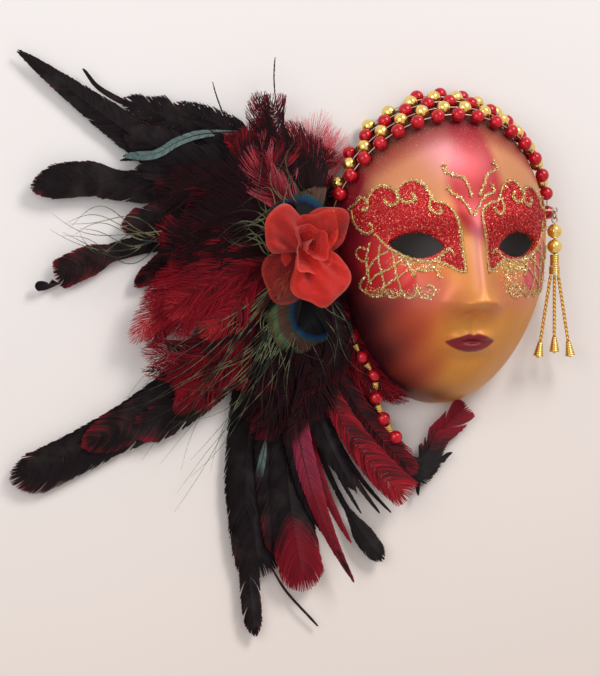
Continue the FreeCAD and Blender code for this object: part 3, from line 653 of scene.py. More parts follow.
# Scrolls of the half mask painted round each eye: across from the middle line, and up.
SCROLLS = {
    "inner_lobe": [(21.0, 32.5), (23.5, 37.5), (28.6, 40.0), (33.8, 37.0), (36.0, 32.2),
                   (34.0, 28.6), (30.8, 28.0), (28.3, 30.4), (29.4, 32.8)],
    "outer_lobe": [(36.0, 32.2), (38.6, 35.8), (43.0, 36.4), (47.4, 33.4), (50.6, 27.6)],
    "outer_curl": [(36.0, 32.2), (36.2, 28.4), (38.4, 26.2), (41.0, 27.4), (41.8, 29.6)],
    "side_scroll": [(58.0, 24.6), (55.4, 27.4), (52.8, 30.4), (50.6, 28.4), (50.8, 24.8),
                    (53.0, 24.0)],
    "side_curl": [(57.4, 24.0), (57.4, 17.6), (54.6, 12.6), (51.2, 11.6), (49.8, 15.0),
                  (51.2, 17.2)],
    "bridge": [(21.0, 32.5), (18.8, 28.6), (14.6, 27.6), (10.4, 24.4), (8.2, 17.4),
               (8.0, 4.4), (7.6, -4.0), (7.4, -9.4)],
    "bridge_curl": [(20.8, 30.4), (21.8, 25.4), (19.6, 22.2), (16.8, 22.8), (16.4, 25.0)],
    "drop": [(16.4, 0.8), (14.4, 2.6), (11.6, 0.6)],
    "drop_side": [(20.6, -3.2), (16.2, -5.4), (12.0, -8.2), (7.4, -9.4)],
    "lid": [(48.8, 11.0), (44.8, 4.8), (40.2, 0.6), (35.0, -2.2), (29.6, -3.6), (23.6, -3.4),
            (19.6, -1.8), (16.6, 1.0)],
    "net_1": [(51.8, 6.6), (53.2, -1.0), (52.6, -8.6), (50.8, -15.8)],
    "net_2": [(47.4, 5.0), (48.0, -3.6), (46.2, -12.4), (45.6, -18.6)],
    "net_3": [(42.0, 0.4), (41.4, -6.4), (40.6, -13.6), (38.4, -19.6)],
    "net_4": [(36.0, -2.6), (34.4, -7.4), (32.4, -11.8)],
    "net_5": [(43.6, 2.0), (48.6, -0.8), (51.6, -6.8), (52.0, -12.0)],
    "net_6": [(37.6, -1.8), (43.6, -6.6), (48.8, -11.0), (51.4, -15.0)],
    "net_7": [(32.2, -4.0), (37.4, -9.6), (43.8, -14.8), (46.6, -18.4)],
    "hem_1": [(53.6, -12.4), (54.0, -17.6), (50.4, -22.0), (46.2, -21.8), (45.6, -18.6)],
    "hem_2": [(45.6, -18.6), (43.6, -22.4), (40.2, -22.6), (38.4, -19.6)],
    "hem_3": [(38.4, -19.6), (36.0, -22.8), (32.6, -22.4), (31.2, -18.8), (32.6, -17.0)],
    "hem_4": [(31.2, -18.8), (28.6, -22.8), (24.4, -22.8), (22.4, -19.4), (23.8, -16.6),
              (26.6, -16.8)],
    "swag": [(33.4, -10.8), (30.8, -7.6), (27.8, -9.0), (25.4, -6.4), (22.0, -8.2),
             (19.8, -12.6)],
    "net_curl": [(52.2, 2.4), (55.2, 3.6), (56.2, -0.6), (54.0, -3.8), (52.8, -2.6)],
}
# Four horns rise from between the brows: across, less than 0 to the left, and up.
HORNS = {
    "left_low": [(-3.1, 21.3), (-5.7, 26.8), (-9.1, 31.2), (-12.9, 33.2), (-14.8, 36.4)],
    "left_high": [(-1.9, 31.0), (-2.7, 35.5), (-5.4, 41.0), (-10.9, 42.8), (-15.0, 45.0),
                  (-14.4, 48.0)],
    "right_low": [(-1.6, 21.3), (2.9, 27.6), (7.2, 31.6), (11.9, 33.6), (11.3, 37.2)],
    "right_high": [(2.9, 31.5), (5.8, 37.2), (9.5, 42.7), (14.2, 45.0), (16.6, 47.4),
                   (14.3, 49.5)],
}
BLOBS = {"inner_lobe": 1.7, "outer_curl": 1.8, "side_scroll": 1.7, "side_curl": 1.7,
         "left_low": 1.9, "left_high": 2.3, "right_low": 1.7, "right_high": 1.9,
         "bridge_curl": 1.4, "hem_4": 2.0, "hem_3": 1.7, "hem_2": 1.6, "net_curl": 1.6,
         "net_1": 1.7, "net_4": 1.9, "net_5": 1.6}


def aside(across, up, hand):
    """How far to the left of its listed place a scroll is drawn: over the brow both sides
    lean that way, and the right half mask starts nearer the nose."""
    lean = 3.2 * smooth(up, 4.0, 24.0) * (1.0 - smooth(across, 42.0, 58.0))
    return lean + 3.0 * (1.0 - smooth(across, 6.0, 34.0)) * (hand > 0)


def listed(x, z):
    """How far across the drawing of its own half mask a point of the face lies."""
    hand = np.where(x > 0, 1, -1)
    across = np.abs(x)
    for _ in range(6):
        across = hand * (x + aside(across, z, hand))
    return across


def chain(*parts):
    """One outline out of several scrolls, each (name, forwards) or a list of points."""
    line = []
    for part in parts:
        if isinstance(part, tuple):
            some = SCROLLS[part[0]][:part[2]] if len(part) > 2 else SCROLLS[part[0]]
            line += some if part[1] else some[::-1]
        else:
            line += part
    return through(line, steps=5, closed=True)


field = chain(("inner_lobe", True, 5), ("outer_lobe", True), [(52.8, 30.4), (57.4, 24.0)],
              ("side_curl", True, 4), ("lid", True), [(15.0, 0.0), (12.6, 1.0), (11.0, 0.2)],
              [(8.6, 0.0)], ("bridge", False, 5))
drop = chain(("drop_side", True), [(7.8, -2.0), (11.6, 0.6), (14.4, 2.6), (16.4, 0.8)])
net = chain(("lid", True, 5), ("net_4", True), [(31.6, -17.0), (36.0, -21.0), (42.0, -20.6)],
            ("hem_1", False), [(55.4, -6.0), (56.0, 1.0), (52.0, 6.6)])

face_mesh, skin, turn, lift = shell_mesh(FACE_CELLS)
x, z = skin[:, 0], skin[:, 2]
side = np.abs(x)
out = np.sin(lift)
wave = 2.2 * np.sin(x * 0.11 + z * 0.07) + 1.4 * np.sin(x * 0.23 - z * 0.19)
lower_left = -x * 0.90 - z * 0.44 + wave
# How near the bead cap a point lies, for the painted shadow under the cap.
under_cap = z + 0.009 * x * x
across, eye_gap = listed(x, z), almond(x, z)
wide_band = 4.0 + 11.0 * smooth(z, 4.0, 26.0) - 4.0 * smooth(z, 40.0, 62.0)
painted = {  # 0 to 1 over the face, and all but the sprinkled fleck are read by the paint
    "field": smooth(from_edge(across, z, field), -0.3, 0.3),
    "drop": smooth(from_edge(across, z, drop), -0.3, 0.3),
    "net": smooth(from_edge(across, z, net), -1.5, 1.5) *
    (0.80 + 0.20 * np.sin(side * 0.9 + z * 0.7)),
    "rosy": smooth(x, 8.0, 30.0),
    # Painted highlight: a pale pink band along the lower rim of each eye hole.
    "lid": 0.8 * smooth(2.6 - eye_gap, 0.0, 1.6) * smooth(3.0 - z, 0.0, 4.0),
    "tan": 0.85 * smooth(z, 14.0, 36.0),
    "fleck":
    0.9 * hill(across, z, 25.0, -6.4, 6.5, 1.8) + 0.7 * hill(across, z, 37.5, -3.0, 5.5, 1.8) +
    0.8 * hill(across, z, 26.5, -20.5, 4.5, 2.0) + 0.6 * hill(across, z, 41.5, -20.5, 5.5, 1.8) +
    0.9 * hill(x, z, 23.0, -11.0, 5.0, 5.5) + 0.5 * hill(across, z, 49.0, -20.0, 3.0, 2.0) - 0.16,
    "mouth": smooth(lips(x, z), -0.3, 0.3),
    # Maroon paint on the lower left and along the jaw; under the bead cap a darker painted edge,
    # deepened with painted shadow of the cap.
    "dark":
    0.94 * smooth(lower_left, 44.0, 60.0) * smooth(-z, -2.0, 30.0) +
    0.80 * hill(x, z, -22.0, -79.0, 16.0, 5.0) +
    0.45 * smooth(out, 0.95, 1.0) * smooth(-x, 15.0, 45.0) +
    0.80 * smooth(under_cap, 65.0, 75.0),
    # Crimson paint at the sides; under the bead cap it is the soft edge of the painted shadow.
    "crimson":
    0.95 * smooth(-x + 0.10 * z + wave - 8.0 * smooth(z, 5.0, 25.0), 41.0, 53.0) *
    smooth(z, -34.0, -8.0) +
    0.65 * smooth(lower_left, 34.0, 50.0) +
    0.55 * smooth(x, 49.0, 61.0) * smooth(z, -20.0, 30.0) +
    0.70 * smooth(under_cap, 57.0, 67.0),
    "band": 0.95 * smooth(wide_band - np.abs(x - 2.0 + 0.4 * wave), -4.5, 4.0) *
    smooth(z, 0.0, 14.0),
    # Painted highlights on the forehead and down the nose bridge, and pink pearl paint under the
    # eyes.
    "pearl":
    0.75 * hill(x, z, -15.0, 57.0, 8.0, 9.0) + 0.16 * hill(x, z, 9.0, 51.0, 5.0, 8.0) +
    0.30 * hill(side, z, 30.0, -20.0, 12.0, 7.0) + 0.45 * hill(x, z, -1.0, 2.0, 2.6, 15.0),
    "warm":
    0.9 * smooth(-x - 0.1 * z + wave, 10.0, 38.0) + 0.7 * hill(side, z, 26.0, -16.0, 13.0, 9.0) +
    0.3 * hill(side, z, 6.0, NOSE_TIP_Z - 6.0, 6.0, 4.0),
    # The band along the hairline that holds the painted glints of glitter.
    "hair": smooth(under_cap, 52.0, 60.0),
}
for name, values in painted.items():
    keep(face_mesh, name, np.clip(values, 0.0, 1.0))
face_mesh.materials.append(finish_named("face_paint", face_paint, coat_weight=0.12,
                                        coat_roughness=0.3, specular_ior_level=0.35))
face_mesh.materials.append(finish_named("inside_painted_shade", inside_painted_shade))
hand_over(add_object("mask_face", face_mesh), "mask", "mask_shell")


# ------------------------------------------------------------------ glitter
# Gold glitter glue is drawn in scrolls on both sides of the face and its flakes stand up out
# of the line. Inside the scrolls red flakes are sprinkled over wet varnish.

class Grower(Tree):
    """A Geometry Nodes group with named inputs: input name = (kind, value)."""

    def __init__(self, name, **inputs):
        group = bpy.data.node_groups.new(name, "GeometryNodeTree")
        socket = group.interface.new_socket
        for label, (kind, value) in {"Geometry": ("Geometry", None), **inputs}.items():
            made = socket(name=label, in_out="INPUT", socket_type="NodeSocket" + kind)
            if value is not None:
                made.default_value = value
        socket(name="Geometry", in_out="OUTPUT", socket_type="NodeSocketGeometry")
        super().__init__(group)
        self.given = self.node("NodeGroupInput")

    def make(self, kind, settings=None, **values):
        """A Geometry Nodes node: its sockets' names have _ for each space."""
        return self.node("GeometryNode" + kind, settings,
                         {label.replace("_", " "): value for label, value in values.items()})

    def named(self, name, kind="FLOAT"):
        """What the points of the mesh hold under that name."""
        return self.make("InputNamedAttribute", {"data_type": kind}, Name=name)

    def chance(self, low, high, seed, **who):
        """A random number, or a random vector where low is one."""
        kind = "FLOAT_VECTOR" if is_wide(low) else "FLOAT"
        return self.node("FunctionNodeRandomValue", {"data_type": kind},
                         {"Min": low, "Max": high, "Seed": seed, **who})

    def join(self, *parts):
        both = self.make("JoinGeometry")
        for part in parts:
            self.tree.links.new(part.socket, both.socket.node.inputs[0])
        return both

    def done(self, geometry):
        """The group, which gives out this geometry in the finish that it was given."""
        geometry = self.make("SetMaterial", Geometry=geometry, Material=self.given.out("Finish"))
        self.node("NodeGroupOutput", {}, {0: geometry})
        return self.tree


def grown(name, base, group, **values):
    """What the group makes out of the base mesh, as a plain object of that name."""
    thing = add_object(name + "_base", base)
    make = thing.modifiers.new("make", "NODES")
    make.node_group = group
    for item in group.interface.items_tree:
        if item.in_out == "INPUT" and item.name in values:
            make[item.identifier] = values[item.name]
    mesh = plain_mesh(thing)
    bpy.data.objects.remove(thing)
    mesh.name = name
    return add_object(name, mesh)


def flakes(tree, points, turned, size, seed):
    """Six-sided flakes at the points, each tilted and scaled by chance."""
    flake = tree.make("MeshCircle", {"fill_type": "NGON"}, Vertices=6, Radius=size)
    tilt = tree.chance((-0.55, -0.55, -3.1), (0.55, 0.55, 3.1), seed)
    turned = tree.node("FunctionNodeRotateRotation", {"rotation_space": "LOCAL"},
                       {0: turned, 1: tilt})
    many = tree.make("InstanceOnPoints", Points=points, Instance=flake, Rotation=turned,
                     Scale=tree.chance(0.6, 1.25, seed + 1))
    many = tree.make("StoreNamedAttribute", {"data_type": "FLOAT", "domain": "INSTANCE"},
                     Geometry=many, Name="luck", Value=tree.chance(0.0, 1.0, seed + 2))
    return tree.make("RealizeInstances", Geometry=many)


def line_group():
    """A raised line of glue with flakes in it. The points hold out, the way off the face,
    and wide, half the width of the line."""
    tree = Grower("glitter_line", Step=("Float", 0.0003), Flake=("Float", 0.0003),
                  Seed=("Int", 1), Finish=("Material", None))
    give = tree.given.out
    wide, off = tree.named("wide"), tree.named("out", "FLOAT_VECTOR")
    lines = tree.make("MeshToCurve", Mesh=give("Geometry"))
    ring = tree.make("CurvePrimitiveCircle", Resolution=6, Radius=1.0)
    glue = tree.make("CurveToMesh", Curve=lines, Profile_Curve=ring, Scale=wide, Fill_Caps=True)
    spots = tree.make("CurveToPoints", {"mode": "LENGTH"}, Curve=lines, Length=give("Step"))
    push = tree.chance((-1.5, -1.0, -1.5), (1.5, 1.0, 1.5), give("Seed"))
    points = tree.make("SetPosition", Geometry=spots, Offset=push * wide + off * (wide * 0.9))
    turned = tree.node("FunctionNodeAlignRotationToVector", {"axis": "Z"}, {"Vector": off})
    gold = flakes(tree, points, turned, give("Flake"), give("Seed") + 5)
    return tree.done(tree.join(glue, gold))


def sprinkle_group():
    """Flakes over the faces of a mesh, as thick as its attribute of the given name says."""
    tree = Grower("sprinkle", Density=("Float", 1e6), Where=("String", "field"),
                  Flake=("Float", 0.0003), Seed=("Int", 1), Finish=("Material", None))
    give = tree.given.out
    spots = tree.make("DistributePointsOnFaces", Mesh=give("Geometry"), Seed=give("Seed"),
                      Density=give("Density") * tree.named(give("Where")))
    raised = tree.make("SetPosition", Geometry=spots, Offset=spots.out("Normal") * FLAKE_RISE)
    return tree.done(flakes(tree, raised, spots.out("Rotation"), give("Flake"),
                            give("Seed") + 5))


def on_face(across, up, off):
    """The point that far off the face at that place, and the way off the face there."""
    def at(a, b):
        tip = b / HALF_HEIGHT
        wide = a / HALF_WIDTH
        turn = np.arctan2(tip, wide)
        for _ in range(6):
            wide = a / (HALF_WIDTH * (1.0 + 0.09 * np.sin(turn)))
            turn = np.arctan2(tip, wide)
        return face_point(turn, np.arcsin(np.clip(np.hypot(wide, tip), 0.0, 0.9999)))
    here, step = at(across, up), 0.3
    normal = np.cross(at(across, up + step) - at(across, up - step),
                      at(across + step, up) - at(across - step, up))
    normal *= np.sign(-normal[..., 1:2])
    normal /= np.linalg.norm(normal, axis=-1, keepdims=True)
    return here + normal * off, normal


def glitter_colours(first, second, bright):
    def recipe(tree):
        luck, grain = tree.read("luck"), tree.cloud(3.0, 1.0)
        colour = tree.blend(luck, tone(*first), tone(*second))
        # A few flakes are painted near white: painted glints.
        colour = tree.blend(tree.step(luck, 0.86, 0.92), colour, tone(*bright))
        return {"Base Color": colour, "Roughness": 0.22 + grain * 0.2,
                "Normal": tree.bump(grain, 0.2)}
    return recipe


FLAKE_RISE = 0.12 * mm
LINE_RISE, HAND_SHAKE = 0.12, 0.22
LINE_HALF, FINE_HALF = 0.54, {"net": 0.33, "hem": 0.42, "swag": 0.42}  # half a line's width
gold_glitter = finish_named("gold_glitter", glitter_colours(
    (186, 152, 84), (238, 216, 150), (255, 252, 230)), metallic=0.6)
red_glitter = finish_named("red_glitter", glitter_colours(
    (160, 8, 18), (224, 30, 36), (255, 150, 130)), metallic=0.5)
glitter_line, sprinkle = line_group(), sprinkle_group()
points, edges, offs, wides = [], [], [], []
for drawing, hand in ((HORNS, 0), (SCROLLS, -1), (SCROLLS, 1)):
    luck = np.random.default_rng(11 + hand)
    for name, marks in drawing.items():
        marks = np.array(marks) + luck.normal(0.0, HAND_SHAKE, (len(marks), 2))
        line = through(marks, steps=10)
        if hand:
            line[:, 0] = hand * line[:, 0] - aside(line[:, 0], line[:, 1], hand)
        far = np.linspace(0, 1, len(line))
        half = FINE_HALF.get(name.split("_")[0], LINE_HALF)
        uneven = 1.0 + 0.2 * np.sin(9 * far + luck.uniform(0, 6))
        blob = max(0.55 * BLOBS.get(name, 0.0) - 0.3, 0.0)
        thick = half * uneven + blob * smooth(far, 0.9, 1.0)
        place, off = on_face(line[:, 0], line[:, 1], LINE_RISE)
        edges += [(len(points) + i, len(points) + i + 1) for i in range(len(line) - 1)]
        points += list(place)
        offs += list(off)
        wides += list(thick)
base = bpy.data.meshes.new("scroll_lines")
base.from_pydata([tuple(np.array(p) * mm) for p in points], edges, [])
base.attributes.new("out", "FLOAT_VECTOR", "POINT").data.foreach_set(
    "vector", np.array(offs, np.float32).ravel())
base.attributes.new("wide", "FLOAT", "POINT").data.foreach_set(
    "value", np.array(wides, np.float32) * mm)
scrollwork = grown("gold_scrolls", base, glitter_line, Step=0.13 * mm, Flake=0.3 * mm, Seed=3,
                   Finish=gold_glitter)
hand_over(scrollwork, "mask")
for name, density, seed, finish, slot in (
        ("field", 7.0e6, 21, red_glitter, "red_bead"),
        ("drop", 7.0e6, 22, red_glitter, "red_bead"),
        ("fleck", 4.0e6, 23, gold_glitter, "gold_metal")):
    sprinkled = grown(f"{name}_flakes", face_mesh.copy(), sprinkle, Density=density,
                      Where=name, Flake=0.28 * mm, Seed=seed, Finish=finish)
    hand_over(sprinkled, "mask")


# ------------------------------------------------------------------ bead cap and cheek strand
# Plastic beads 7.6 mm across, lacquered red or plated gold, are strung on nylon thread: in five
# rows over the forehead, and on one strand down the cheek with small gold cones between them.
# The bright wires of the tassel share the finish of the thread.

def mottled(first, second, scale, rough, detail=2.0, coarse=0.5, sharp=False, bump=0.0, deep=0.1):
    """A recipe that drifts from one colour to the other: rough is (least, what is added)."""
    def recipe(tree):
        cloud = tree.cloud(scale, detail, coarse)
        share = tree.step(cloud, 0.3, 0.7) if sharp else cloud
        least, more = rough
        made = {"Base Color": tree.blend(share, tone(*first), tone(*second)),
                "Roughness": least + cloud * more if more else least}
        return {**made, "Normal": tree.bump(cloud, bump, deep * mm)} if bump else made
    return recipe


def plated_gold(tree):
    place = tree.object_place()
    dimple = tree.node("ShaderNodeTexVoronoi", {"feature": "SMOOTH_F1"}, {
        "Vector": place, "Scale": 0.75})
    worn = tree.noise(place, 0.4, 3.0)
    colour = tree.blend(worn, tone(222, 180, 84), tone(254, 234, 150))
    return {"Base Color": colour, "Roughness": 0.14 + worn * 0.14,
            "Normal": tree.bump(dimple, 0.6, 0.3 * mm)}


red_bead = finish_named(
    "red_lacquer", mottled((164, 4, 24), (216, 16, 40), 0.5, (0.2, 0.1), sharp=True),
    coat_weight=0.15, coat_roughness=0.05, specular_ior_level=0.4, metallic=0.25)
gold_bead = finish_named("plated_gold", plated_gold, metallic=0.95)
thread = finish_named("silver_thread", mottled(
    (150, 128, 108), (226, 214, 198), 2.5, (0.25, 0.2), bump=0.3), metallic=0.7)


def finish_nodes(finish, *slots):
    """Gives the finish to every kept CAD node that has one of these slots."""
    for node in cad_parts.values():
        for slot in node.material_slots:
            if slot.material and slot.material.name.split(".")[0] in slots:
                slot.material = finish


finish_nodes(red_bead, "red_bead")
finish_nodes(gold_bead, "gold_bead")
finish_nodes(thread, "thread", "wire")


# ------------------------------------------------------------------ feather spray
# Rooster tail, hackle, marabou and peacock feathers, dyed black and burgundy, fan out in layers
# round a felt pad, one lump of glue holds their quills. Each is a stem with rows of soft barbs.

STRIP_ROWS, WALL_GAP = 7, 0.4 * mm  # points along a barb, and how near the wall one comes


def plumage_group():
    """Two rows of barbs and a stem along every line of a mesh. The points of a line hold
    span (left reach, right reach, how far ahead the barbs lean), lie (droop, fluff, split)
    and size (run, barb width, shade), in metres where they are lengths."""
    tree = Grower("plumage", Barbs=("Int", 100), Clump=("Float", 0.008),
                  Stem=("Float", 0.0006), Seed=("Int", 1), Finish=("Material", None))
    make, give = tree.make, tree.given.out
    barbs, clump, seed = give("Barbs"), give("Clump"), give("Seed")
    lines = make("MeshToCurve", Mesh=give("Geometry"))
    count = make("AttributeDomainSize", {"component": "CURVE"}, Geometry=lines).out("Spline Count")
    starts = make("MeshLine", Count=count * barbs * 2.0, Offset=(0.0, 0.0, 0.0))
    strip = make("MeshGrid", Size_X=1.0, Size_Y=1.0, Vertices_X=2, Vertices_Y=STRIP_ROWS)
    rows = make("RealizeInstances", Geometry=make("InstanceOnPoints", Points=starts,
                                                  Instance=strip))

    barb = ((make("InputIndex") + 0.5) / (2.0 * STRIP_ROWS)).math("FLOOR")
    feather = ((barb + 0.5) / (barbs * 2.0)).math("FLOOR")
    within = barb - feather * barbs * 2.0
    far = within.math("GREATER_THAN", barbs - 0.5)
    side = 1.0 - far * 2.0

    def chance(low, high, salt, who=barb):
        return tree.chance(low, high, seed + salt, ID=who)

    factor = (within - far * barbs + 0.5 + chance(-0.5, 0.5, 1)) / barbs
    span, lie, size = (
        make("SampleCurve", {"mode": "FACTOR", "data_type": "FLOAT_VECTOR"}, Curves=lines,
             Value=tree.named(name, "FLOAT_VECTOR"), Factor=factor, Curve_Index=feather)
        for name in ("span", "lie", "size"))
    spot, way = span.out("Position"), span.out("Tangent")
    left, right, ahead = tree.axes(span)
    droop, fluff, split = tree.axes(lie)
    run, wide, shade = tree.axes(size)
    across, down, _ = tree.axes(make("InputPosition"))
    down = down + 0.5

    bunch = run / clump + 0.8 * tree.node("ShaderNodeTexNoise", {"noise_dimensions": "1D"}, {
        "W": run / clump * 0.5 + feather * 13.7 + far * 5.3, "Scale": 1.0, "Detail": 1.0})
    cell = bunch.math("FLOOR")
    tuft = cell + feather * 97.0 + far * 41.0
    pull = split * chance(0.0, 1.0, 2, tuft) ** 2.0
    reach = left * (1.0 - far) + right * far
    lean = ahead / (reach + 0.0003)
    uneven = chance(0.93, 1.02, 3) * (1.0 + split * chance(-0.16, 0.1, 4, tuft))
    reach = reach * uneven
    along = ahead * uneven * down ** 1.45 + (cell + 0.5 - bunch) * clump * pull * down ** 1.3
    aside = reach * down * (1.35 - 0.35 * down)
    lift = (droop * reach * down * down + reach * 0.3 * (down - down * down)
            + fluff * down * (chance(-1.0, 1.0, 5) + chance(-1.0, 1.0, 6, tuft)))
    front = (0.0, -1.0, 0.0)
    out = calc(tree.tree, "CROSS_PRODUCT", front, way)
    heading = out * side * (1.35 - 0.7 * down) + way * lean * (1.45 * (down + 0.02) ** 0.45)
    edge = heading.math("CROSS_PRODUCT", front).math("NORMALIZE")
    width = across * wide * (1.0 - 0.6 * down ** 4.0)
    curl = fluff * 0.8 * down * (down * chance(3.0, 7.0, 7) + chance(0.0, 6.3, 8)).math("SINE")
    place = (spot + out * (side * aside) + way * along + edge * (width + curl)
             + front * (lift + width * 0.35))
    x, y, z = tree.axes(place)
    place = tree.node("ShaderNodeCombineXYZ", {}, {
        "X": x, "Y": y.math("MINIMUM", -WALL_GAP), "Z": z})

    def store(geometry, **values):
        for name, value in values.items():
            geometry = make("StoreNamedAttribute", {"data_type": "FLOAT"}, Geometry=geometry,
                            Name=name, Value=value)
        return geometry

    rows = store(rows, along=factor, streak=chance(0.0, 1.0, 9), shade=shade, down=down)
    rows = make("SetPosition", Geometry=rows, Position=place)
    share = make("SplineParameter")
    ring = make("CurvePrimitiveCircle", Resolution=6, Radius=1.0)
    stems = make("CurveToMesh", Curve=store(lines, along=share, stem=1.0), Profile_Curve=ring,
                 Fill_Caps=True, Scale=give("Stem") * (1.0 - 0.85 * share))
    return tree.done(make("SetShadeSmooth", Geometry=tree.join(stems, rows)))


plumage = plumage_group()
SPRAY_X, STEM_POINTS = -80.0, 48
LAYER_Y = (-1.6, -3.8, -6.0, -11.6, -13.8, -16.0, -18.2)


def blade(reach, width, bow, heading, layer, start=10.0, lean=1.5, share=0.5, droop=0.1,
          fluff=0.3, split=0.5, lift=3.0, shade=(0.0, 0.0, 0.0), thin=0.5, blunt=0.86,
          full=0.3, sway=0.0, sink=0.0, point=0.5, neck=None, route=None):
    """One feather: its stem bows (+ is anticlockwise) off the straight line out of the glue, or
    follows a route of its own, and its width is shared between the two sides of the stem. A
    neck is a narrow stretch: from, to, part of the width. Millimetres and degrees."""
    t = np.linspace(0.0, 1.0, STEM_POINTS)
    ahead = 0.5 * lean * width * max(share, 1.0 - share)
    if route:
        path = through(route)
        path = even(np.column_stack([path, 0.0 * path[:, 0]]), STEM_POINTS)
        x, z = SPRAY_X + path[:, 0], path[:, 1]
    else:
        chord = start + (reach - ahead - start) * t
        off = 4.0 * t * (1.0 - t) * bow + sway * np.sin(2 * pi * t)
        angle = radians(heading)
        x = SPRAY_X + chord * cos(angle) - off * sin(angle)
        z = chord * sin(angle) + off * cos(angle)
    y = LAYER_Y[layer] - lift * t ** 2 - 1.2 * np.sin(pi * t) + sink * smooth(t, 0.0, 0.4)
    line = np.stack([x, y, z], axis=1)
    run = np.concatenate([[0.0], np.cumsum(np.linalg.norm(np.diff(line, axis=0), axis=1))])
    taper = np.maximum(np.clip((1.0 - t) / (1.0 - blunt), 0.0, 1.0) ** point, 0.04)
    wide = width * smooth(t, 0.0, full) ** 0.8 * taper
    if neck:
        low, high, part = neck
        open_again = smooth(t, high, high + 0.07)
        wide *= 1.0 - (1.0 - part) * smooth(t, low - 0.12, low) * (1.0 - open_again)
    forward = lean * max(share, 1.0 - share) * (wide / taper) * (0.5 + 0.5 * taper * taper)
    hue = np.interp(t, np.linspace(0.15, 0.95, len(shade)), shade)
    same = np.ones_like(t)
    return {"line": line * mm,
            "span": np.stack([wide * share * mm, wide * (1 - share) * mm, forward * mm], axis=1),
            "lie": np.stack([droop * same, fluff * mm * (0.2 + 0.8 * t),
                             split * (1.0 - 0.75 * smooth(t, blunt - 0.1, 1.0))], axis=1),
            "size": np.stack([run * mm, thin * mm * same, hue], axis=1)}


def plume(name, node, blades, finish, barbs, clump, stem, seed):
    """One piece out of several feathers."""
    edges, start = [], 0
    for one in blades:
        count = len(one["line"])
        edges += [(start + i, start + i + 1) for i in range(count - 1)]
        start += count
    base = bpy.data.meshes.new(name + "_lines")
    base.from_pydata([tuple(p) for one in blades for p in one["line"]], edges, [])
    for label in ("span", "lie", "size"):
        values = base.attributes.new(label, "FLOAT_VECTOR", "POINT")
        values.data.foreach_set("vector", np.concatenate(
            [one[label] for one in blades]).astype(np.float32).ravel())
    thing = grown(name, base, plumage, Barbs=barbs, Clump=clump * mm, Stem=stem * mm,
                  Seed=seed, Finish=finish)
    for label in ("span", "lie", "size"):
        extra = thing.data.attributes.get(label)
        if extra:
            thing.data.attributes.remove(extra)
    hand_over(thing, "mask", node)


def coque_dye(tree):
    """Black with grey patches of painted sheen, burgundy where the shade rises, a pale grey-green
    painted sheen where the shade falls under 0, and a pink painted sheen past 1.1."""
    along, down, streak, shade, stem = tree.read("along", "down", "streak", "shade", "stem")
    cloud = tree.cloud(0.09)
    black = tree.blend(streak, tone(7, 5, 7), tone(34, 24, 28))
    # Grey patches on the black: painted sheen.
    black = tree.blend(tree.step(cloud, 0.45, 0.75) * 0.6, black, tone(50, 46, 46))
    red = tree.blend(streak, tone(98, 9, 25), tone(136, 19, 36))
    red = tree.blend(tree.step(down, 0.6, 1.0) * 0.35, red, tone(160, 32, 46))
    amount = shade + (streak - 0.5) * 0.3 + tree.step(down, 0.55, 1.0) * 0.22 * tree.step(
        along, 0.45, 0.9) + (cloud - 0.5) * 0.5
    colour = tree.blend(tree.step(amount, 0.25, 0.75), black, red)
    # Pale grey-green where the shade falls under 0: painted sheen.
    green_sheen = tree.blend(streak, tone(78, 100, 100), tone(124, 148, 144))
    colour = tree.blend(tree.step(shade * -1.0, 0.2, 0.8), colour, green_sheen)
    # Pink where the shade rises past 1.1: painted sheen.
    pink_sheen = tree.blend(streak, tone(112, 30, 56), tone(156, 54, 78))
    colour = tree.blend(tree.step(shade, 1.1, 1.5), colour, pink_sheen)
    quill = tree.blend(along, tone(64, 34, 30), tone(22, 12, 14))
    colour = tree.blend(stem, colour, quill)
    return {"Base Color": colour, "Roughness": 0.46 + streak * 0.2}


def hackle_dye(tree):
    """Burgundy, darker to the quill and brighter along the edges."""
    along, down, streak, shade, stem = tree.read("along", "down", "streak", "shade", "stem")
    cloud = tree.cloud(0.07)
    deep = tree.blend(streak, tone(8, 3, 6), tone(40, 8, 16))
    bright = tree.blend(streak, tone(94, 10, 24), tone(166, 24, 40))
    amount = shade * 0.8 + tree.step(down, 0.3, 1.0) * 0.3 + (streak - 0.5) * 0.35 + (
        cloud - 0.5) * 0.9
    colour = tree.blend(tree.step(amount, 0.15, 0.95), deep, bright)
    colour = tree.blend(tree.step(shade + (along - 0.8), 0.95, 1.3), colour, tone(182, 46, 52))
    colour = tree.blend(stem, colour, tone(70, 14, 22))
    return {"Base Color": colour, "Roughness": 0.5 + streak * 0.2}


def marabou_dye(tree):
    down, streak = tree.read("down", "streak")
    colour = tree.blend(tree.step(down, 0.1, 0.95), tone(150, 14, 38), tone(226, 96, 110))
    colour = tree.blend(streak * 0.4, colour, tone(178, 28, 48))
    return {"Base Color": colour, "Roughness": 0.55 + streak * 0.2}


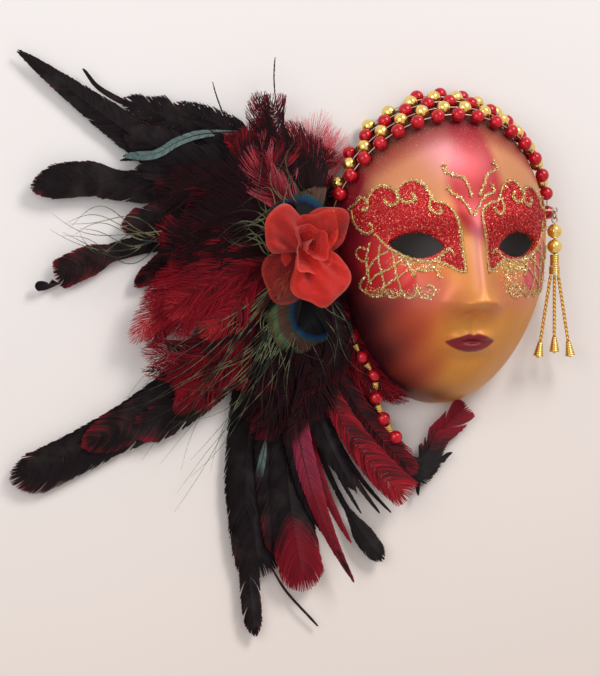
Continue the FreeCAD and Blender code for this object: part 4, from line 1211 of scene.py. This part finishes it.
def peacock_rings(across, up, size):
    """Rings of the eye: blue-black heart, blue, bronze, a green arc, then olive barbs."""
    def recipe(tree):
        streak = tree.read("streak")
        x, _, z = tree.axes(tree.object_place())
        far = ((x - across) * (x - across) + (z - up) * (z - up)).math("SQRT")
        far = far + (streak - 0.5) * 1.6
        ring = tree.node("ShaderNodeValToRGB", {"stops": [
            (0.00, tone(3, 3, 6)), (0.30, tone(4, 4, 9)), (0.33, tone(20, 50, 104)),
            (0.39, tone(26, 84, 92)), (0.42, tone(92, 68, 58)), (0.56, tone(112, 80, 66)),
            (0.60, tone(96, 140, 104)), (0.66, tone(112, 104, 60)), (0.74, tone(60, 84, 62)),
            (1.00, tone(58, 64, 40))]}, {"Fac": far / size})
        colour = tree.blend(streak * 0.6, ring, tone(16, 20, 18))
        sheen = tree.step(far / size, 0.25, 0.32) * tree.step(far / size, 0.7, 0.5)
        return {"Base Color": colour, "Roughness": 0.28 + streak * 0.2, "Metallic": sheen * 0.35}
    return recipe


def herl_dye(tree):
    """Loose peacock barbs: grey-green with a metal gloss, brown to the tips."""
    along, streak, shade = tree.read("along", "streak", "shade")
    cloud = tree.cloud(0.12)
    green = tree.blend(tree.step(cloud, 0.4, 0.65), tone(22, 36, 26), tone(112, 120, 88))
    colour = tree.blend(tree.step(along + shade, 0.55, 1.1), green, tone(46, 34, 26))
    colour = tree.blend(streak * 0.35, colour, tone(24, 30, 26))
    return {"Base Color": colour, "Roughness": 0.34 + streak * 0.15}


finishes = {
    "coque": finish_named("coque_dye", coque_dye, specular_ior_level=0.16),
    "hackle": finish_named("hackle_dye", hackle_dye, specular_ior_level=0.15),
    "marabou": finish_named("marabou_dye", marabou_dye, specular_ior_level=0.3),
    "herl": finish_named("herl_dye", herl_dye, specular_ior_level=0.3),
}

# Rooster tail feathers. Each is a quill with its vane in one or more blades, which part along
# the barbs: reach, width, bow, heading, layer, and what sets it apart. Black unless shaded; a
# shade under 0 or over 1.1 paints a sheen on the black.
TAILS = {
    "coque_1": [(196, 20, 1, 146.3, 0, dict(point=0.62, blunt=0.5, shade=(0, 0, 0.08))),
                (134, 20, -12, 140.5, 0, dict(split=1.0, blunt=0.7, fluff=0.9, thin=0.7)),
                (112, 17, -14, 132, 1, dict(split=1.0, blunt=0.6, fluff=1.0, thin=0.6)),
                (124, 26, -5, 147, 1, dict(split=0.7, blunt=0.7)),
                (0, 3, 0, 0, 0, dict(route=((-92, 77), (-108, 84), (-118, 90), (-125, 98)),
                                     blunt=0.3, lean=2.5))],
    "coque_2": [(161, 19, -15, 166, 1, dict(neck=(0.5, 0.66, 0.6), blunt=0.86, share=0.45,
                                              shade=(0, 0, 0.12))),
                (126, 24, -13, 163, 1, dict(split=0.9, blunt=0.5)),
                (112, 30, -16, 156, 1, dict(split=0.9, blunt=0.6)),
                (108, 28, -8, 170, 1, dict(split=0.9, blunt=0.5, shade=(0, 0, 0.2)))],
    "coque_3": [(143, 17, -13, 184, 0, dict(neck=(0.5, 0.74, 0.6), blunt=0.95, lean=1.0,
                                            shade=(0.1, 0.1, 0.28))),
                (154, 5, 0, 186, 0, dict(start=139, split=0.9, full=0.5, blunt=0.7)),
                (100, 18, -10, 188, 0, dict(split=0.9, blunt=0.6, shade=(0, 0.1, 0.3)))],
    "coque_4": [(206, 23, 13, 216, 0, dict(blunt=0.88, share=0.55, shade=(0, 0, 0.12))),
                (172, 20, 16, 219, 0, dict(split=0.7)),
                (140, 22, 12, 223, 0, dict(split=0.8))],
    "coque_5": [(164, 21, 11, 219, 1, dict(blunt=0.84, shade=(0, 0, 0.3))),
                (138, 20, 12, 225, 1, dict(split=0.7, shade=(0, 0, 0.2)))],
    "coque_6": [(178, 27, -15, 261, 0, dict(blunt=0.90, shade=(0, 0, 0.06))),
                (210, 12, -14, 262, 0, dict(blunt=0.92, split=0.6, shade=(0, 0, 0.14))),
                (150, 20, -8, 256, 0, dict(split=0.7)),
                (124, 4, 0, 255.5, 4, dict(start=102, shade=(-0.5, -0.6, -0.3), full=0.5)),
                (0, 0.8, 0, 0, 0, dict(route=((-19, -168), (-9, -184), (9, -203)), lift=1,
                                       split=0, lean=3))],
    "coque_7": [(184, 26, -10, 269.5, 1, dict(blunt=0.89, full=0.8, lift=4.0, split=0.12,
                                              shade=(0, 0, 0, 0.05, 1.1))),
                (166, 17, -12, 265, 1, dict(blunt=0.9, shade=(0, 0, 0.2))),
                (150, 16, -12, 273, 1, dict(split=0.6))],
    "coque_8": [(182, 12, -18, 278, 2, dict(blunt=0.6, point=0.7, lift=5.0, share=0.6,
                                            shade=(0.3, 1.5, 1.3, 0.4))),
                (158, 13, -16, 275, 2, dict(blunt=0.8, shade=(0, 0, 0)))],
    "coque_9": [(176, 12, -19, 285, 0, dict(neck=(0.45, 0.80, 0.25), blunt=0.93, lift=4.0)),
                (161, 7, -15, 279.5, 1, dict(blunt=0.6, shade=(0.5, 0.7, 0.8)))],
    "coque_10": [(134, 14, -12, 282, 2, dict(blunt=0.7, split=0.8)),
                 (146, 4, -13, 282.5, 2, dict(blunt=0.5, lean=2.5)),
                 (149, 5, -15, 286.5, 2, dict(blunt=0.5, lean=2.5)),
                 (151, 4, -18, 289, 2, dict(blunt=0.5, lean=2.5))],
    "coque_11": [(0, 4.6, 0, 0, 2, dict(route=((-28, 66), (-57, 65), (-73, 61), (-87, 54),
                                               (-104, 53)), lift=4, blunt=0.85, full=0.5,
                                        shade=(-0.9, -0.9, -0.6))),
                 (114, 5, -8, 157, 2, dict(blunt=0.6, split=0.9)),
                 (118, 5, -18, 154, 1, dict(blunt=0.6, split=0.9))],
    "coque_12": [(0, 15, 0, 0, 0, dict(route=((4, -10), (22, -52), (47, -95), (60, -113),
                                             (70, -115), (78, -103), (94, -86)),
                                      full=0.97, blunt=0.96,
                                      share=0.4, split=0.7, lean=1.0,
                                      shade=(0, 0, 0, 0, 0.1, 1.1))),
                 (0, 15, 0, 0, 0, dict(route=((4, -12), (20, -58), (40, -98), (58, -117),
                                             (76, -117)), full=0.8, blunt=0.9, split=0.9)),
                 (0, 9, 0, 0, 0, dict(route=((44, -97), (66, -117), (74, -108), (87, -99)),
                                      blunt=0.8, split=0.9, shade=(0, 0, 0.9))),
                 (0, 3, 0, 0, 0, dict(route=((30, -74), (52, -106), (66, -118), (68, -132)),
                                      split=0.9, lean=2.5)),
                 (0, 3, 0, 0, 0, dict(route=((36, -84), (58, -112), (76, -116), (87, -111)),
                                      split=0.9, lean=2.5))],
}
for number, (name, vanes) in enumerate(TAILS.items()):
    blades = [blade(*sizes, **{**dict(split=0.15, thin=1.0, fluff=0.2, droop=0.0), **extra})
              for *sizes, extra in vanes]
    plume(name + "_feather", name, blades, finishes["coque"],
          barbs=330, clump=16.0, stem=0.6, seed=40 + number)

# Hackle tufts: reach, width, bow, heading, layer, shade, feathers in the tuft, how far
# they spread, in degrees, and how far they sink back to the wall.
HACKLES = {
    "hackle_1": (110, 21, -3, 186, 3, (0.45, 0.75, 0.9), 11, 14.0, 0.0),
    "hackle_2": (116, 22, -6, 201, 4, (0.4, 0.85, 0.95), 9, 10.0, 0.0),
    "hackle_3": (125, 21, 4, 222, 3, (-0.1, 0.25, 0.6), 11, 14.0, 0.0),
    "hackle_4": (100, 22, -6, 161, 4, (-0.55, -0.4, 0.05), 10, 15.0, 0.0),
    "hackle_5": (92, 16, 4, 119, 3, (-0.8, -0.6, 0.6), 7, 7.0, 0.0),
    "hackle_6": (99, 15, 4, 108.5, 4, (-0.8, -0.6, 0.6), 7, 6.0, 0.0),
    "hackle_7": (72, 14, 4, 84, 3, (0.0, 0.3, 0.5), 7, 12.0, 7.5),
    "hackle_8": (112, 16, -8, 298, 3, (0.1, 0.5, 0.8), 8, 10.0, 5.0),
    "hackle_9": (112, 18, 3, 260, 4, (-0.5, -0.4, -0.1), 10, 15.0, 0.0),
}
for number, (name, values) in enumerate(HACKLES.items()):
    reach, width, bow, heading, layer, shade, many, spread, sink = values
    luck = np.random.default_rng(70 + number)
    blades = []
    for one in range(many):
        place_by = (one / (many - 1) - 0.5) * 2.0
        cut_by = luck.uniform(0.66, 1.0) - 0.10 * abs(place_by)
        blades.append(blade(
            reach * cut_by, width * luck.uniform(0.8, 1.15), bow + luck.uniform(-13, 13),
            heading + spread * place_by + luck.uniform(-3, 3), layer,
            lean=luck.uniform(1.4, 2.2), split=0.8, shade=np.array(shade) + luck.uniform(-.2, .2),
            blunt=luck.uniform(0.6, 0.88), lift=luck.uniform(-1.5, 3.0), thin=0.36,
            fluff=luck.uniform(0.7, 1.5), sway=luck.uniform(-6, 6), sink=sink,
            full=0.5 if sink else 0.3, start=14.0 if sink else 10.0))
    if name == "hackle_5":
        blades += [blade(reach, 0.4, 4, heading, 3, start=60, split=0.0, lean=3.0, lift=1.0,
                         shade=(-0.5, -0.5, -0.5))
                   for reach, heading in ((108, 121), (108, 100.5))]
    if name == "hackle_8":
        blades += [blade(148, 18, -17, 292.5, 3, split=0.2, blunt=0.94, full=0.85, lift=4.0,
                         lean=1.2, shade=(0.1, 0.7, 0.9), thin=0.8, start=14.0, sink=3.0,
                         share=0.6),
                   blade(138, 16, -13, 297.5, 3, split=0.5, blunt=0.85, full=0.7, lift=3.0,
                         shade=(0.0, 0.25, 0.45), thin=0.6, start=14.0, sink=5.0)]
    plume(name + "_tuft", name, blades, finishes["hackle"],
          barbs=210, clump=5.0, stem=0.3, seed=70 + number)

# Marabou: downy plumes whose long loose barbs wave past one another.
luck = np.random.default_rng(90)
blades = [blade(luck.uniform(66, 86), 24, 4, 72 + 44 * share, 5, lean=1.9, split=1.0,
                droop=-0.1, fluff=1.3, blunt=0.5, lift=luck.uniform(-3, 1), thin=0.14,
                sink=13.0 * (1.0 - share), sway=luck.uniform(-3, 3))
          for share in np.linspace(0, 1, 9)]
plume("marabou_plume", "marabou_1", blades, finishes["marabou"],
      barbs=110, clump=6.0, stem=0.2, seed=90)

# Peacock: a vane with the eye in it, and the long loose barbs of its stem. Heading, layer,
# middle of the eye, its size, the vane's reach, and sweeps of barbs: heading from and to,
# reach from and to, bow, where they start, how many.
PEACOCKS = {
    "peacock_1": (112.0, 6, (SPRAY_X - 9.0, 14.0), 46.0, 35.0, [
        (146, 178, 36, 58, -9, 14, 16), (92, 120, 44, 66, 6, 14, 7),
        (168, 176, 132, 154, -3, 84, 10)]),
    "peacock_2": (256.0, 5, (SPRAY_X + 2.0, -31.0), 40.0, 55.0, [
        (214, 232, 92, 150, 9, 14, 20), (236, 247, 118, 160, 5, 14, 6),
        (240, 266, 56, 92, -4, 14, 13), (276, 300, 55, 92, -8, 14, 8)]),
}
for number, (name, values) in enumerate(PEACOCKS.items()):
    heading, layer, centre, size, away, sweeps = values
    luck = np.random.default_rng(100 + number)
    eye_finish = finish_named(name + "_rings", peacock_rings(*centre, size),
                              specular_ior_level=0.2)
    vane = blade(away, 40, 0, heading, layer, start=6.0, lean=0.75, split=0.5, fluff=0.5,
                 droop=0.05, blunt=0.45, full=0.55, lift=1.0, thin=0.4)
    plume(name + "_eye", name, [vane], eye_finish,
          barbs=260, clump=6.0, stem=0.5, seed=100 + number)
    herls = []
    for low, high, short, far, bow, start, many in sweeps:
        for one in range(many):
            herls.append(blade(luck.uniform(short, far), 0.8, bow + luck.uniform(-13, 13),
                               luck.uniform(low, high), layer, start=start + luck.uniform(0, 12),
                               lean=1.8, split=0.3, fluff=0.15, lift=luck.uniform(-1, 4),
                               thin=0.16, blunt=0.4, full=0.1, shade=(0.0, 0.0, 0.25),
                               sway=luck.uniform(-6, 6)))
    plume(name + "_herls", None, herls, finishes["herl"],
          barbs=70, clump=3.0, stem=0.24, seed=110 + number)


# ------------------------------------------------------------------ pad and glue
# The quills lie round one disc of pressed felt, held by hot glue that goes through the hole in
# it; the flower is glued on top, on a disc of stiffened net. The pad is hidden, so the visible
# one is a full disc without that hole.

def stiff_net(tree):
    x, _, z = tree.axes(tree.object_place())
    weave = (x * 5.0).math("SINE") * (z * 5.0).math("SINE")
    colour = tree.blend(tree.step(weave, -0.4, 0.6), tone(86, 14, 20), tone(150, 34, 34))
    return {"Base Color": colour, "Roughness": 0.8, "Normal": tree.bump(weave, 0.5)}


low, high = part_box("feather_pad")
middle = (low + high) / 2
rings, turns, hub, worn = 14, 64, 0.2 * mm, 0.012
radius, half = (high.x - low.x) / 2 - 0.2 * mm, (high.y - low.y) / 2 - 0.1 * mm
luck = np.random.default_rng(5)
points = []
for i in range(rings + 1):
    bow = pi * i / rings
    for k in range(turns):
        angle = 2 * pi * k / turns
        r = radius * sin(bow) ** 0.35 if 0 < i < rings else hub
        r *= 1.0 - worn * luck.random()
        y = -half * np.sign(cos(bow)) * abs(cos(bow)) ** 0.5
        points.append((middle.x + r * cos(angle), middle.y + y, middle.z + r * sin(angle)))
felt = finish_named("felt_wool", mottled((40, 8, 16), (92, 22, 34), 1.4, (0.9, 0.0), detail=4.0,
                                         coarse=0.7, bump=0.8, deep=0.4), specular_ior_level=0.1)
pad = add_object("felt_pad", mesh_of("felt_pad", points, tube_faces(rings + 1, turns), felt))
hand_over(pad, "mask", "feather_pad")
finish_nodes(finish_named("hot_glue", mottled(
    (196, 170, 128), (226, 206, 170), 0.3, (0.28, 0.1), bump=0.4, deep=0.6)), "glue")
finish_nodes(finish_named("stiff_net", stiff_net), "stiffener")


# ------------------------------------------------------------------ organza flower
# Four petals of sheer coral organza, each a cut piece folded over on itself and gathered at its
# root, stand round a heart of one long strip that is rolled and ruched, all held on the net.

def organza(tree):
    """Sheer, and denser where it is folded."""
    place = tree.object_place()
    x, _, z = tree.axes(place)
    weave = (x * 9.0).math("SINE") * (z * 9.0).math("SINE")
    cloud, crush = tree.noise(place, 0.08), tree.noise(place, 0.22, 3.0, 0.6)
    edge, plies, crease = tree.read("rim", "plies", "crease")
    colour = tree.blend(cloud, tone(216, 22, 16), tone(240, 48, 32))
    # Darker in the creases: painted shade in the folds.
    colour = tree.blend(tree.step(crease + (crush - 0.5) * 0.8, 0.35, 0.95) * 0.85, colour,
                        tone(158, 12, 18))
    # Lighter along the folded rim: painted highlight.
    colour = tree.blend(edge * 0.45, colour, tone(246, 92, 62))
    colour = tree.blend((1.0 - plies) * 0.6, colour, tone(132, 34, 26))
    colour = tree.blend(tree.step(crush, 0.48, 0.72) * 0.4, colour, tone(168, 16, 22))
    sheer = 0.14 + plies * 0.62 + edge * 0.2 + crease * 0.12 + (crush - 0.5) * 0.3
    height = crush * 1.0 + cloud * 0.5 + weave * 0.06
    return {"Base Color": colour, "Alpha": sheer.math("MINIMUM", 1.0).math("MAXIMUM", 0.15),
            "Roughness": 0.5 + cloud * 0.15, "Normal": tree.bump(height, 0.85, 2.0 * mm)}


organza_finish = finish_named("organza", organza, specular_ior_level=0.25, sheen_weight=0.3)
FLOWER, NET_Y = np.array([-89.0, 3.0]), -22.3


def petal(name, node, seed, heading, length, width, back, rise, belly, flat, plies, point):
    """A folded lobe: its front leaf bellies out, its back leaf lies flatter behind it, and both
    are gathered to the root. Rim is 1 along the fold, where the cloth is painted lighter as a
    highlight; a point stands out clockwise of its end."""
    luck, cells = np.random.default_rng(seed), 30
    way = np.array([cos(radians(heading)), sin(radians(heading))])
    side = np.array([-way[1], way[0]])
    waves = luck.uniform(0, 6.3, 4)
    v, u = np.meshgrid(np.linspace(-1, 1, cells + 1), np.linspace(-1, 1, cells + 1))
    q, p = v * np.sqrt(1 - u * u / 2), u * np.sqrt(1 - v * v / 2)
    far = np.minimum(np.hypot(p, q), 1.0)
    round_by = np.arctan2(q, p)
    ragged = 1 + 0.05 * np.sin(3 * round_by + waves[0]) + 0.035 * np.sin(5 * round_by + waves[1])
    ragged = ragged + point * np.exp(-((round_by + 0.45) / 0.3) ** 2)
    along = (p * ragged + 1) / 2
    pinch = 0.7 + 0.3 * smooth(along, 0.0, 0.5)
    reach, spread = length * along, width / 2 * q * ragged * pinch
    ray = np.arctan2(spread, reach + 6.0)
    wrinkle = np.sin(ray * 9.0 + 3.0 * along + waves[2])
    fold = 2.2 * wrinkle + np.sin(ray * 21.0 - 4.0 * along + waves[3]) * 0.9
    puff = np.sqrt(np.clip(1 - far ** 2, 0, 1))
    parts, faces = [], sheet_faces(cells, cells)
    for leaf in (1.0, -0.35):
        y = -(back + rise * along + belly * leaf * puff + fold * puff * (1.15 - 0.5 * along))
        y = y + 1.6 * smooth(far, 0.75, 1.0) * along
        x = FLOWER[0] + reach * way[0] + spread * side[0]
        z = FLOWER[1] + reach * way[1] + spread * side[1]
        grid = np.stack([x, np.minimum(y, NET_Y), z], axis=-1).reshape(-1, 3)
        parts.append((grid * mm, faces if leaf < 0 else [f[::-1] for f in faces]))
    mesh = mesh_of(name, *joined(parts), organza_finish)
    # Rim lightens the fold into a painted highlight; the crease mask darkens the wrinkle troughs
    # as painted shade.
    keep(mesh, "rim", np.tile(smooth(far, 0.86, 1.0).ravel(), 2))
    keep(mesh, "plies", np.full(len(mesh.vertices), plies))
    keep(mesh, "crease", np.tile((puff * (0.5 - 0.5 * wrinkle) * (1.1 - 0.6 * along)).ravel(), 2))
    thing = add_object(name, mesh)
    hand_over(thing, "mask", node)


# Each petal: its node, seed, heading, length, width, where its root and its tip lie, belly,
# flat size of its cloth, how dense it looks, and how far its point stands out.
for name, node, *sizes in (
        ("top_left", "upper_left", 1, 139, 30, 26, 23.5, 13, 4.5, (0.033, 0.044), 0.8, 0.0),
        ("top_right", "upper_right", 2, 43, 29, 25, 23.5, 12, 4.0, (0.030, 0.044), 0.55, 0.0),
        ("low_left", "lower_left", 3, 238, 32, 30, 22.8, 6, 2.5, (0.041, 0.050), 0.1, 0.0),
        ("low_right", "lower_right", 4, 300, 31, 34, 24.5, 12, 4.0, (0.041, 0.048), 1.0, 0.16)):
    petal("petal_" + name, "petal_" + node, *sizes)

turns, tall, steps = 2.3, 16, 190
angle = np.linspace(0, 2 * pi * turns, steps)
share = np.linspace(0, 1, steps)
ripple = 2.0 * np.sin(angle * 2.3) + 1.5 * np.sin(angle * 3.9 + 1.0) + 0.8 * np.sin(angle * 7.7)
ends = 1.0 - 0.65 * smooth(share, 0.86, 1.0)
top = (17.0 - 7.0 * share + 2.6 * np.sin(angle * 1.7 + 0.6)) * ends
rows = []
for j in range(tall + 1):
    up = j / tall
    flare = (1.5 + 9.0 * share) * ends * up ** 1.6
    r = 2.0 + 7.5 * share + ripple * up * (0.3 + 1.0 * share) + flare
    y = -(23.5 + up * top - 1.6 * np.maximum(0.0, up - 0.7) / 0.3 * share)
    rows.append(np.stack([FLOWER[0] + 2.0 + r * np.cos(angle + 2.0), y,
                          FLOWER[1] + 2.0 + 1.05 * r * np.sin(angle + 2.0)], axis=-1))
grid = np.concatenate(rows)
faces = [(a, d, c, b) for a, b, c, d in sheet_faces(tall, steps - 1)]
heart_mesh = mesh_of("flower_heart_roll", grid * mm, faces, organza_finish)
# Rim: the top edge of the roll, painted lighter as a highlight.
keep(heart_mesh, "rim", np.repeat(smooth(np.linspace(0, 1, tall + 1), 0.85, 1.0), steps))
keep(heart_mesh, "plies", np.ones(len(grid)))
# Darker low in the roll and in the troughs of its ripples: painted shade.
keep(heart_mesh, "crease", np.tile(0.5 - 0.13 * ripple, tall + 1) *
     np.repeat(1.1 - 0.9 * np.linspace(0, 1, tall + 1), steps))
heart = add_object("flower_heart_roll", heart_mesh)
hand_over(heart, "mask", "flower_heart")


# ------------------------------------------------------------------ tassel metal
# Two hammered gold beads, a ribbed neck and a collar on a head pin, three stamped bells with
# beads in their mouths: brass, plated and rubbed bright.

def ribbed_gold(tree):
    place = tree.object_place()
    _, _, z = tree.axes(place)
    rib = (z * 6.3).math("SINE")
    worn = tree.noise(place, 0.8, 3.0)
    colour = tree.blend(worn, tone(206, 152, 62), tone(252, 222, 140))
    colour = tree.blend(tree.step(rib, 0.2, -0.9) * 0.5, colour, tone(96, 58, 16))
    return {"Base Color": colour, "Roughness": 0.18 + worn * 0.16,
            "Normal": tree.bump(rib * 0.6 + worn * 0.4, 0.5, 0.25 * mm)}


finish_nodes(finish_named("ribbed_gold", ribbed_gold, metallic=0.95), "gold_metal")
for name in ("tassel_bead_upper", "tassel_bead_lower"):
    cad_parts[name].material_slots[0].material = gold_bead
